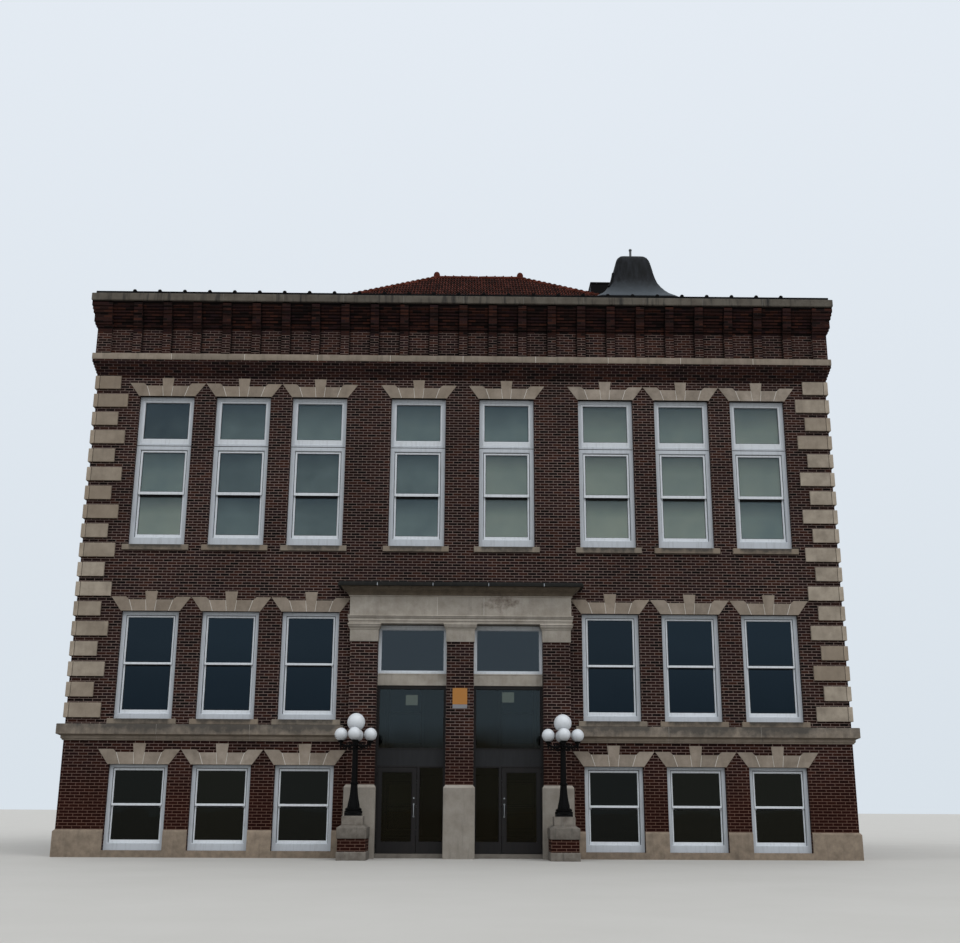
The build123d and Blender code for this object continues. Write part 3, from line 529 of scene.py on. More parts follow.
@dataclass(frozen=True)
class RollerCloth(Finish):
    """Woven roller-shade cloth, grey-green, a little different in each window, with fine cross threads."""

    slot: Slot = Slot.SHADE
    shades: Sequence[str] = ("35434f", "a5b6b8", "f3f6e4")
    # painted light: the cloth glows, standing for the daylight that falls on it through the glass
    glow: float = 0.12

    def dress(self, mix: Palette) -> Socket:
        """Tints each shade by its tone, paints shade and a bluish reflection at its top, makes it glow as painted
        light, and draws its threads, 6 mm apart so that they show.

        Args:
            mix: The palette.

        Returns:
            The shader.
        """
        share = mix.add("Math ADD", mix.add("Attribute", out="Fac", attribute_name="tone"), 0.5, use_clamp=True)
        fade = mix.add("Math MULTIPLY_ADD", mix.mottle(0.7, 2.0), 0.3, -0.15)
        share = mix.add("Math ADD", share, fade, use_clamp=True)
        cloth = mix.add("ValToRGB", share, stops=zip((0.0, 0.45, 1.0), self.shades))
        # painted shade and painted reflection: where the stain attribute is high, at the top of each length, the cloth
        # turns dark blue
        painted_shade_and_reflection = mix.add("Math MULTIPLY", mix.add("Attribute", out="Fac", attribute_name="stain"), 0.75)
        thread = mix.add("Math MULTIPLY", mix.mottle(0.006, 1.0, (20, 20, 1)), 0.12)
        cloth = mix.coat(cloth, (painted_shade_and_reflection, "25384a"), (thread, "6b7172"))
        return mix.surface(cloth, 0.9, Emission_Color=cloth, Emission_Strength=self.glow)


@dataclass(frozen=True)
class OpalGlass(Finish):
    """Moulded opal globes: milky, glossy, a little dusty on top."""

    slot: Slot = Slot.OPAL
    color: str = "e6eaee"
    glow: float = 0.0

    def dress(self, mix: Palette) -> Socket:
        """Milky glass with thin dust.

        Args:
            mix: The palette.

        Returns:
            The shader.
        """
        dust = mix.add("Math MULTIPLY", mix.mottle(0.06, 4.0), 0.25)
        rough = mix.add("MapRange", dust, 0.0, 0.25, 0.2, 0.4)
        lit = {"Emission_Color": self.color, "Emission_Strength": self.glow} if self.glow else {}
        return mix.surface(mix.coat(self.color, (dust, "b9bdc0")), rough, **lit)


@dataclass(frozen=True)
class ClayTile(Finish):
    """Fired clay roof tile, brick red, each tile its own shade, dulled by soot and lichen, with painted shade in its
    pans and under the laps.
    """

    slot: Slot = Slot.TILE
    tiles: Sequence[str] = ("33190f", "54291f", "6d3b30")

    def dress(self, mix: Palette) -> Socket:
        """Shades each tile by its own number, dirties it and paints shade where the stain attribute is high.

        Args:
            mix: The palette.

        Returns:
            The shader.
        """
        each, stain_and_shade = (mix.add("Attribute", out="Fac", attribute_name=name) for name in ("each", "stain"))
        share = mix.add("Math MULTIPLY_ADD", each, 0.7, 0.5, use_clamp=True)
        fired = mix.add("ValToRGB", share, stops=zip((0.0, 0.5, 1.0), self.tiles))
        soot_and_shade = mix.mottle(0.12, 5.0)
        dirt = mix.add("MapRange", soot_and_shade, 0.5, 0.8, 0.0, 0.5)
        # painted shade: the stain attribute darkens the pans and the covered heads along with the dirt
        dirt = mix.add("Math MAXIMUM", dirt, mix.add("Math MULTIPLY", stain_and_shade, 0.8))
        return mix.surface(mix.coat(fired, (dirt, "120b09")), 1.0, soot_and_shade, 0.003, Specular_IOR_Level=0.08)


@dataclass(frozen=True)
class Boards(Finish):
    """Worn floor boards and plaster undersides of the rooms, seen only through the glass."""

    slot: Slot = Slot.BOARDS
    board: str = "6b5640"
    width: float = 0.09

    def dress(self, mix: Palette) -> Socket:
        """Boards with a long grain, and plaster where the face looks down.

        Args:
            mix: The palette.

        Returns:
            The shader.
        """
        down = mix.add("Math LESS_THAN", mix.place("Normal")[2], -0.5)
        sizes = {"Scale": 1.0, "Mortar Size": 0.001, "Brick Width": 2.4, "Row Height": self.width}
        browns = {"Color1": self.board, "Color2": "57452f", "Mortar": "1c1611"}
        boards = mix.add("TexBrick", {"Vector": mix.add("TexCoord", out="Object"), **sizes, **browns})
        grain = mix.mottle(0.02, 3.0, (18, 1, 1))
        color = mix.coat(boards, (mix.add("Math MULTIPLY", grain, 0.3), "3a2c1d"), (down, "a19d92"))
        return mix.surface(color, 0.6, grain, 0.0005)


@dataclass(frozen=True)
class SignPaint(Finish):
    """Faded enamel on a plain steel plate, orange over a bare white strip."""

    slot: Slot = Slot.SIGN

    def dress(self, mix: Palette) -> Socket:
        """Two plain fields with chalky wear.

        Args:
            mix: The palette.

        Returns:
            The shader.
        """
        wear = mix.mottle(0.03, 5.0)
        strip = mix.add("Math GREATER_THAN", mix.add("Attribute", out="Fac", attribute_name="tone"), 0.2)
        paint = mix.coat("b0742a", (strip, "86868a"), (mix.add("MapRange", wear, 0.55, 0.75, 0.0, 0.5), "8d7a58"))
        return mix.surface(paint, 0.5, wear, 0.0005)


BRICK = FaceBrick("pressed face brick")
# painted shade: the corbelled courses get near-black bed joints, and the panel mortar turns near black above 12.75 m,
# for the shade under each corbelled course
CORBEL_BRICK = FaceBrick("corbelled face brick", mortar="5f4f49", shade=1.25, bed=0.7)
PANEL_BRICK = FaceBrick("parapet panel brick", mortar="716059", shade=1.22, fade="120b0a", fade_foot=12.75)
STRIP_BRICK = FaceBrick("pilaster brick", mortar="78675f", shade=1.22, fade="2c1f1c", fade_foot=12.62)
STONE = Limestone("sawn limestone", pale="938879", deep="746a5e", streak=0.25)
QUOIN_STONE = Limestone("quoin limestone", pale="ab9f8f", deep="887d6f", streak=0.12, joint="453f37")
LINTEL_STONE = Limestone("lintel limestone", pale="a29689", deep="7f7467", streak=0.12, joint="d5d0c8")
PLINTH_STONE = Limestone("plinth limestone", pale="9c8c7a", deep="75685a", patch=0.16, streak=0.2)
BELT_STONE = Limestone("belt limestone", pale="968b7e", deep="776d61", stain="3a3733", streak=0.3)
BAND_STONE = Limestone("band limestone", pale="92877a", deep="71675a", stain="4a4234", joint="e4dfd6")
FRIEZE_STONE = Limestone(
    "frieze limestone", pale="b3ada4", deep="908a80", streak=0.16, joint="dcd8d0", rust=(0.95, 5.82, 0.55, 0.3)
)
PIER_STONE = Limestone("pier limestone", pale="9d9890", deep="847f77", streak=0.2, joint="c4c0b8")
# painted shade: this cornice stone is much darker, for the shade in the cove under the flashing
CORNICE_STONE_IN_PAINTED_SHADE = Limestone("rain-stained cornice limestone", pale="5d5344", deep="302920", stain="1c1712", patch=0.2)
PEDESTAL_STONE = Limestone("pedestal limestone", pale="7f7b75", deep="54514c", streak=0.5, patch=0.14)
COPING_STONE = Limestone(
    "sooted coping limestone", Slot.DARK_STONE, pale="5b5952", deep="33312c", stain="11100f", joint="76746e", streak=0.9
)
CONCRETE = Limestone("cast concrete slab", pale="7d7a74", deep="5f5c57", streak=0.1)
WHITE_PAINT = PaintedAluminium("baked white paint on aluminium")
BRONZE = SheetMetal("dark bronze anodised aluminium", Slot.BRONZE, "131010", "1d1918", 0.45, gloss=0.25)
HEAD_BRONZE = SheetMetal("bronze header panel", Slot.BRONZE, "1b1b1d", "252628", gloss=0.25)
DARK_SHEET = SheetMetal("blackened sheet metal", Slot.SHEET, "0d0d0b", "21201c", 0.6, gloss=0.2)
BLACK_SHEET = SheetMetal("black coated sheet", Slot.SHEET, "030303", "0c0b0b", 0.6, gloss=0.1)
LEAD = SheetMetal("weathered lead sheet", Slot.LEAD, "0a0b0c", "26282c", 0.65, foot="484e53", gloss=0.15)
IRON = SheetMetal("painted cast iron", Slot.IRON, "040404", "0a0909", 0.35, patch=0.02, length=1.0, gloss=0.08)
GALVANISED = SheetMetal("galvanised rod", Slot.LEAD, "4b4e50", "6d7072")
SATIN = SheetMetal("brushed aluminium pulls", Slot.BRONZE, "8f9294", "a9acae", 0.35, metal=1.0, gloss=0.5)
UPPER_GLASS = WindowGlass("upper window float glass", tint="f1f3f0", mirror="9db3ca", other="a9b9c3")
MAIN_GLASS = WindowGlass(
    "main window float glass", tint="4a5660", mirror="a2cae6", other="98adbe", low="809db4", levels=(3.4, 5.2), ior=1.62
)
GROUND_GLASS = WindowGlass("ground window float glass", tint="60605a", mirror="b4ad8c", other="8a98a0")
TRANSOM_GLASS = WindowGlass("transom float glass", tint="5c6468", mirror="b4c6d2", other="b4c6d2", ior=1.9)
ENTRY_GLASS = WindowGlass(
    "storefront float glass", tint="aeb2ae", mirror="b0c2ca", other="b0c2ca", low="6a6250", levels=(2.7, 3.3), ior=1.65
)
DOOR_GLASS = WindowGlass("door float glass", tint="a39a80", mirror="8c8772", other="8c8772", ior=1.45)
CLOTH = RollerCloth("woven roller shade")
OPAL = OpalGlass("opal glass")
LOBBY_OPAL = OpalGlass("lobby opal glass", color="c8ccc8", glow=0.2)
# painted light: the blank card glows though no lamp is behind it
CARD = OpalGlass("blank card", color="d5d9d0", glow=0.45)
TILE = ClayTile("fired clay tile")
BOARDS = Boards("worn floor boards")
SIGN = SignPaint("faded enamel plate")


@dataclass
class Shape:
    """The faces of one piece, each with a tone, and each point with a stain."""

    place: Matrix = field(default_factory=Matrix)
    points: list[Vector] = field(default_factory=list)
    faces: list[tuple[int, ...]] = field(default_factory=list)
    tones: list[float] = field(default_factory=list)
    stains: list[float] = field(default_factory=list)

    def add(self, points: Sequence[Point], faces: Iterable[Iterable[int]], tone: float, stains: Point) -> None:
        """Adds faces over their own points.

        Args:
            points: The corners.
            faces: The faces, as numbers of those corners.
            tone: The tone of all of them.
            stains: The stain of each corner, or nothing.
        """
        base = len(self.points)
        self.points += [self.place @ Vector(point) for point in points]
        added = [tuple(base + i for i in face) for face in faces]
        self.faces += added
        self.tones += [tone] * len(added)
        self.stains += list(stains) or [0.0] * len(points)

    def loft(
        self, rings: Sequence[Sequence[Point]], tone: float = 0.0, closed: bool = False, stains: Point = ()
    ) -> None:
        """Skins rings of as many points each.

        Args:
            rings: The rings in order.
            tone: The tone of the faces.
            closed: Whether the last ring meets the first. Otherwise both ends are capped.
            stains: The stain of each point, ring by ring.
        """
        count, total = len(rings[0]), len(rings)
        faces = []
        for k in range(total if closed else total - 1):
            low, high = k * count, (k + 1) % total * count
            faces += [(low + i, low + (i + 1) % count, high + (i + 1) % count, high + i) for i in range(count)]
        if not closed:
            faces += [tuple(reversed(range(count))), tuple(range((total - 1) * count, total * count))]
        self.add([point for ring in rings for point in ring], faces, tone, stains)

    def block(self, x: Pair, y: Pair, z: Pair, tone: float = 0.0) -> None:
        """A rectangular block between three pairs of limits."""
        self.stack(x, y, [(level, 0.0) for level in z], tone)

    def stack(self, x: Pair, y: Pair, levels: Iterable[Pair], tone: float = 0.0, behind: bool = False) -> None:
        """A block whose faces step or slope in height.

        Args:
            x: Its limits along the wall.
            y: Its limits from front to back.
            levels: Heights, each with how far the faces stand out there.
            tone: The tone of the faces.
            behind: Whether the back stands out too.
        """
        rings = []
        for z, out in levels:
            left, right, front, back = x[0] - out, x[1] + out, y[0] - out, y[1] + (out if behind else 0.0)
            rings.append([(left, front, z), (right, front, z), (right, back, z), (left, back, z)])
        self.loft(rings, tone)

    def slab(self, outline: Iterable[Pair], y: Pair, tone: float) -> None:
        """A flat stone from its (x, z) outline, between two Y limits."""
        self.loft([[(x, level, z) for x, z in outline] for level in y], tone)

    def run(
        self,
        profile: Sequence[Pair],
        stops: Point,
        mitres: Pair = (0, 0),
        tone: float = 0.0,
        stain: Stain | None = None,
    ) -> None:
        """A length of moulding along the wall.

        Args:
            profile: Projections and heights round its section.
            stops: Places along the wall, from its first to its last end.
            mitres: 1 for an end that turns an outer corner.
            tone: The tone of the faces.
            stain: The stain at a place.
        """
        turns = [-mitres[0], *[0] * (len(stops) - 2), mitres[1]]
        rings = [[(u + turn * proud, -proud, z) for proud, z in profile] for u, turn in zip(stops, turns)]
        self.loft(rings, tone, stains=[stain(u, proud, z) for u in stops for proud, z in profile] if stain else ())

    def turning(
        self, profile: Iterable[Pair], sides: int, centre: Pair = (0.0, 0.0), flute: float = 1.0, tone: float = 0.0
    ) -> None:
        """A turning about an upright axis.

        Args:
            profile: Radii and heights from the foot up.
            sides: The number of sides.
            centre: The axis.
            flute: The share of the radius that every second corner keeps.
            tone: The tone of the faces.
        """
        angles = [2 * math.pi * (i + 0.5) / sides for i in range(sides)]
        rounds = [(math.cos(a) * keep, math.sin(a) * keep) for a, keep in zip(angles, (1.0, flute) * sides)]
        self.loft([[(centre[0] + r * x, centre[1] + r * y, z) for x, y in rounds] for r, z in profile], tone)

    def ball(self, radius: float, centre: Point, sides: int = 28, rings: int = 16, tone: float = 0.0) -> None:
        """A smooth globe.

        Args:
            radius: Its radius.
            centre: Its middle.
            sides: Its sides round the axis.
            rings: Its rows of faces.
            tone: The tone of the faces.
        """
        angles = [math.pi * (0.02 + 0.96 * i / rings) for i in range(rings + 1)]
        profile = [(radius * math.sin(a), centre[2] - radius * math.cos(a)) for a in angles]
        self.turning(profile, sides, centre[:2], tone=tone)

    def tube(self, path: Iterable[Point], radii: Sequence[float], sides: int = 8) -> None:
        """A round bar along a path.

        Args:
            path: The points along its middle.
            radii: Its radius, once or at each point.
            sides: Its sides.
        """
        points = [Vector(point) for point in path]
        last = len(points) - 1
        turns = [2 * math.pi * k / sides for k in range(sides)]
        rings = []
        across = UP if abs((points[1] - points[0]).normalized().z) < 0.9 else Vector((1, 0, 0))
        for i, (point, radius) in enumerate(zip(points, radii if len(radii) > 1 else list(radii) * len(points))):
            ahead = (points[min(i + 1, last)] - points[max(i - 1, 0)]).normalized()
            across = (across - across.dot(ahead) * ahead).normalized()
            other = ahead.cross(across)
            rings.append([point + radius * (math.cos(t) * across + math.sin(t) * other) for t in turns])
        self.loft(rings)

    def casing(
        self, half: float, z: Pair, widths: Triple, y: Pair, ease: float = 0.012, tone: float = 0.0, centre: float = 0.0
    ) -> None:
        """A four-sided frame with a sloped inner arris.

        Args:
            half: Half its width.
            z: Its foot and head.
            widths: The widths of its sides, foot and head.
            y: Its front and back.
            ease: The size of the slope.
            tone: The tone of the faces.
            centre: Its middle along the wall.
        """
        side, foot, head = widths
        rings = []
        for inset, level, out in ((0, y[1], 0), (0, y[0], 0), (1, y[0], ease), (1, y[0] + ease, 0), (1, y[1], 0)):
            reach = half - side * inset + out
            low, high = z[0] + foot * inset - out, z[1] - head * inset + out
            left, right = centre - reach, centre + reach
            rings.append([(left, level, low), (right, level, low), (right, level, high), (left, level, high)])
        self.loft(rings, tone, closed=True)

    def mesh(self, name: str, bevel: float = 0.0) -> bpy.types.Mesh:
        """Turns the faces into a mesh with outward normals.

        Args:
            name: The mesh's name.
            bevel: The width of the worn arrises, 0 for none.

        Returns:
            The mesh.
        """
        data = bpy.data.meshes.new(name)
        data.from_pydata(self.points, [], self.faces)
        data.attributes.new("tone", "FLOAT", "FACE").data.foreach_set("value", self.tones)
        data.attributes.new("stain", "FLOAT", "POINT").data.foreach_set("value", self.stains)
        shell = bmesh.new()
        shell.from_mesh(data)
        bmesh.ops.recalc_face_normals(shell, faces=shell.faces)
        if bevel:
            edges = [edge for edge in shell.edges if edge.calc_face_angle(0) > math.radians(30)]
            worn = {"segments": 1, "profile": 0.5, "affect": "EDGES", "clamp_overlap": True}
            bmesh.ops.bevel(shell, geom=edges, offset=bevel, **worn)
        shell.to_mesh(data)
        shell.free()
        data.shade_smooth()
        data.set_sharp_from_angle(angle=SHARP)
        return data

    def piece(self, name: str, finish: Finish, *nodes: str, bevel: float = 0.0, body: Body = Body.BUILDING) -> None:
        """Makes the piece, with its arrises bevelled, in place of its CAD nodes, and puts it on its body."""
        settle(name, self.mesh(name, bevel), finish, *nodes, body=body)


def settle(name: str, mesh: bpy.types.Mesh, finish: Finish, *nodes: str, body: Body = Body.BUILDING) -> None:
    """Puts a finished mesh on its body.

    Args:
        name: The piece's name.
        mesh: Its mesh.
        finish: Its finish.
        *nodes: The CAD nodes it stands for.
        body: The body it rides on.
    """
    made = bpy.data.objects.new(name, mesh)
    bpy.context.scene.collection.objects.link(made)
    mesh.materials.clear()
    mesh.materials.append(finish.material())
    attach(made, body.value)
    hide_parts(*nodes)
    LOG.info("%s: %d faces", name, len(mesh.polygons))


def dress_nodes(finish: Finish, *nodes: str) -> None:
    """Gives CAD nodes that stay a finish.

    Args:
        finish: The finish.
        *nodes: The nodes.
    """
    for name in nodes:
        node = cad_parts[name]
        node.data.materials.clear()
        node.data.materials.append(finish.material())
        for face in node.data.polygons:
            face.material_index = 0


class Repeater:
    """A Geometry Nodes tree that sets one piece on every point of a mesh, turned as the point says."""

    def __init__(self) -> None:
        """Builds the tree with its named inputs."""
        self.tree = tree = bpy.data.node_groups.new("set out pieces", "GeometryNodeTree")
        kinds = {"Geometry": "Geometry", "Piece": "Object", "Finish": "Material", "Variation": "Float", "Seed": "Int"}
        for name, kind in kinds.items():
            tree.interface.new_socket(name, in_out="INPUT", socket_type="NodeSocket" + kind)
        tree.interface.new_socket("Geometry", in_out="OUTPUT", socket_type="NodeSocketGeometry")
        given = add_node(tree, "NodeGroupInput").node.outputs
        model = {"Object": given["Piece"]}
        model = add_node(tree, "GeometryNodeObjectInfo", model, "Geometry", transform_space="ORIGINAL")
        turn = add_node(tree, "GeometryNodeInputNamedAttribute", ["turn"], data_type="FLOAT_VECTOR")
        angle = add_node(tree, "FunctionNodeEulerToRotation", [turn])
        points = add_node(tree, "GeometryNodeMeshToPoints", {"Mesh": given["Geometry"]})
        setting = {"Points": points, "Instance": model, "Rotation": angle}
        copies = add_node(tree, "GeometryNodeInstanceOnPoints", setting)
        lowest = add_node(tree, "ShaderNodeMath", [given["Variation"], -1.0], operation="MULTIPLY")
        spread = {2: lowest, 3: given["Variation"], "Seed": given["Seed"]}
        chance = add_node(tree, "FunctionNodeRandomValue", spread, 1, data_type="FLOAT")
        mark = {"Geometry": copies, "Name": "each", "Value": chance}
        marked = add_node(tree, "GeometryNodeStoreNamedAttribute", mark, data_type="FLOAT", domain="INSTANCE")
        real = add_node(tree, "GeometryNodeRealizeInstances", {"Geometry": marked})
        finished = add_node(tree, "GeometryNodeSetMaterial", {"Geometry": real, "Material": given["Finish"]})
        add_node(tree, "NodeGroupOutput", [finished])
        self.inputs = {item.name: item.identifier for item in tree.interface.items_tree if item.in_out == "INPUT"}

    def realize(
        self, name: str, piece: bpy.types.Mesh, places: Sequence[Matrix], finish: Finish, variation: float, seed: int
    ) -> bpy.types.Mesh:
        """Sets the piece on every place and makes one plain mesh of them.

        Args:
            name: The name of the result.
            piece: The mesh to repeat.
            places: Where each copy stands and how it is turned.
            finish: Its finish.
            variation: How far each copy's own tone may go either way.
            seed: The seed of those tones.

        Returns:
            The mesh.
        """
        points = bpy.data.meshes.new(name + " places")
        points.from_pydata([place.translation for place in places], [], [])
        turns = [angle for place in places for angle in place.to_euler("XYZ")]
        points.attributes.new("turn", "FLOAT_VECTOR", "POINT").data.foreach_set("vector", turns)
        model, carrier = bpy.data.objects.new(name + " model", piece), bpy.data.objects.new(name + " carrier", points)
        for item in (model, carrier):
            bpy.context.scene.collection.objects.link(item)
        modifier = carrier.modifiers.new("set out", "NODES")
        modifier.node_group = self.tree
        values = {"Piece": model, "Finish": finish.material(), "Variation": variation, "Seed": seed}
        for key, value in values.items():
            modifier[self.inputs[key]] = value
        made = bpy.data.meshes.new_from_object(carrier.evaluated_get(bpy.context.evaluated_depsgraph_get()))
        made.name = name
        carrier.modifiers.remove(modifier)
        for item in (carrier, model):
            bpy.data.objects.remove(item)
        return made

    def set_out(
        self,
        name: str,
        shape: Shape,
        places: Sequence[Matrix],
        finish: Finish,
        *nodes: str,
        bevel: float = 0.0,
        variation: float = 0.15,
        seed: int = 1,
    ) -> None:
        """Repeats a shape, each copy's tone its own, in place of CAD nodes, and settles it on the building."""
        mesh = self.realize(name, shape.mesh(name + " one", bevel), places, finish, variation, seed)
        settle(name, mesh, finish, *nodes)


REPEATER = Repeater()


def window_places(storey: Storey, height: float = 0.0) -> list[Matrix]:
    """Where the windows of a storey stand, at a height, with the wall face at Y = 0."""
    return [side.matrix @ at(u, 0, height) for side in Side for u in side.bays(storey)]


@dataclass
class BrickShell:
    """The brick walls and the corbelled parapet with its pilasters."""

    parapet_foot: float = 12.063
    parapet_top: float = 13.44
    steps: Sequence[float] = (189.2, 191.0, 192.2, 193.2, 194.4, 195.5, 196.6, 197.9)  # in courses
    overhang: float = 0.25
    pilaster_half: float = 0.1025
    pilaster_pitch: float = 0.7485
    corner: float = 0.36
    # how far the painted shade beside each pilaster reaches
    shade_width: float = 0.055
    pilaster: Sequence[Pair] = (
        (12.063, 0.095), (12.77, 0.13), (12.83, 0.157), (12.9, 0.18), (13.13, 0.21), (13.22, 0.23), (13.31, 0.25),
    )

    def stepped(self) -> list[Pair]:
        """The panel outline of the parapet, stepping out under the coping.

        Returns:
            The projections and heights.
        """
        outline = [(-WALL, self.parapet_foot), (0.0, self.parapet_foot)]
        reach = self.overhang / len(self.steps)
        for index, level in enumerate(self.steps):
            outline += [(index * reach, level * COURSE), ((index + 1) * reach, level * COURSE)]
        return outline + [(self.overhang, self.parapet_top), (-WALL, self.parapet_top)]

    def shadowed(self, edges: Sequence[float]) -> Stain:
        """How much painted shade the panels get: dark in the corners beside the pilasters and under the coping.

        Args:
            edges: The pilasters' sides along the wall.

        Returns:
            The stain at a place.
        """

        def stain(u: float, proud: float, z: float) -> float:
            """The stain at one point."""
            beside = z > 13.39 or min(abs(u - edge) for edge in edges) < 0.01
            return 0.9 if proud >= 0 and beside else 0.0

        return stain

    def pilaster_outline(self) -> list[Pair]:
        """The outline of a pilaster with its stepped head.

        Returns:
            The projections and heights.
        """
        top = self.parapet_top - 0.001
        outline = [(0.0, self.parapet_foot)]
        for (_, proud), end in zip(self.pilaster, [level for level, _ in self.pilaster[1:]] + [top]):
            outline += [(proud, outline[-1][1]), (proud, end)]
        return outline + [(0.0, top)]

    def build(self) -> None:
        """Finishes the walls and builds the parapet."""
        walls = ("front_wall_left", "front_wall_right", "front_wall_over", "rear_wall", "left_wall", "right_wall")
        dress_nodes(BRICK, *walls, "entrance_piers")
        dress_nodes(CORBEL_BRICK, "corbel_table")
        panels, corners, strip = Shape(), Shape(), Shape()
        places = []
        for side in Side:
            panels.place = corners.place = side.matrix
            count = int((side.half - self.corner) // self.pilaster_pitch)
            middles = [k * self.pilaster_pitch for k in range(-count, count + 1)]
            edges = [u + sign * self.pilaster_half for u in middles for sign in SIGNS]
            stops = sorted(edge + d for edge in edges for d in (-self.shade_width, 0.0, self.shade_width))
            panels.run(self.stepped(), [-side.half, *stops, side.half], (1, 1), stain=self.shadowed(edges))
            inner = side.half + self.pilaster[0][1] - self.corner
            corners.run(self.pilaster_outline(), (-side.half, -inner), (1, 0))
            corners.run(self.pilaster_outline(), (inner, side.half), (0, 1))
            places += [side.matrix @ at(u) for u in middles]
        panels.piece("parapet_panels", PANEL_BRICK, "parapet")
        corners.piece("parapet_corners", STRIP_BRICK, "parapet_pilasters")
        strip.run(self.pilaster_outline(), (-self.pilaster_half, self.pilaster_half))
        REPEATER.set_out("parapet_strips", strip, places, STRIP_BRICK, "parapet_pilasters")


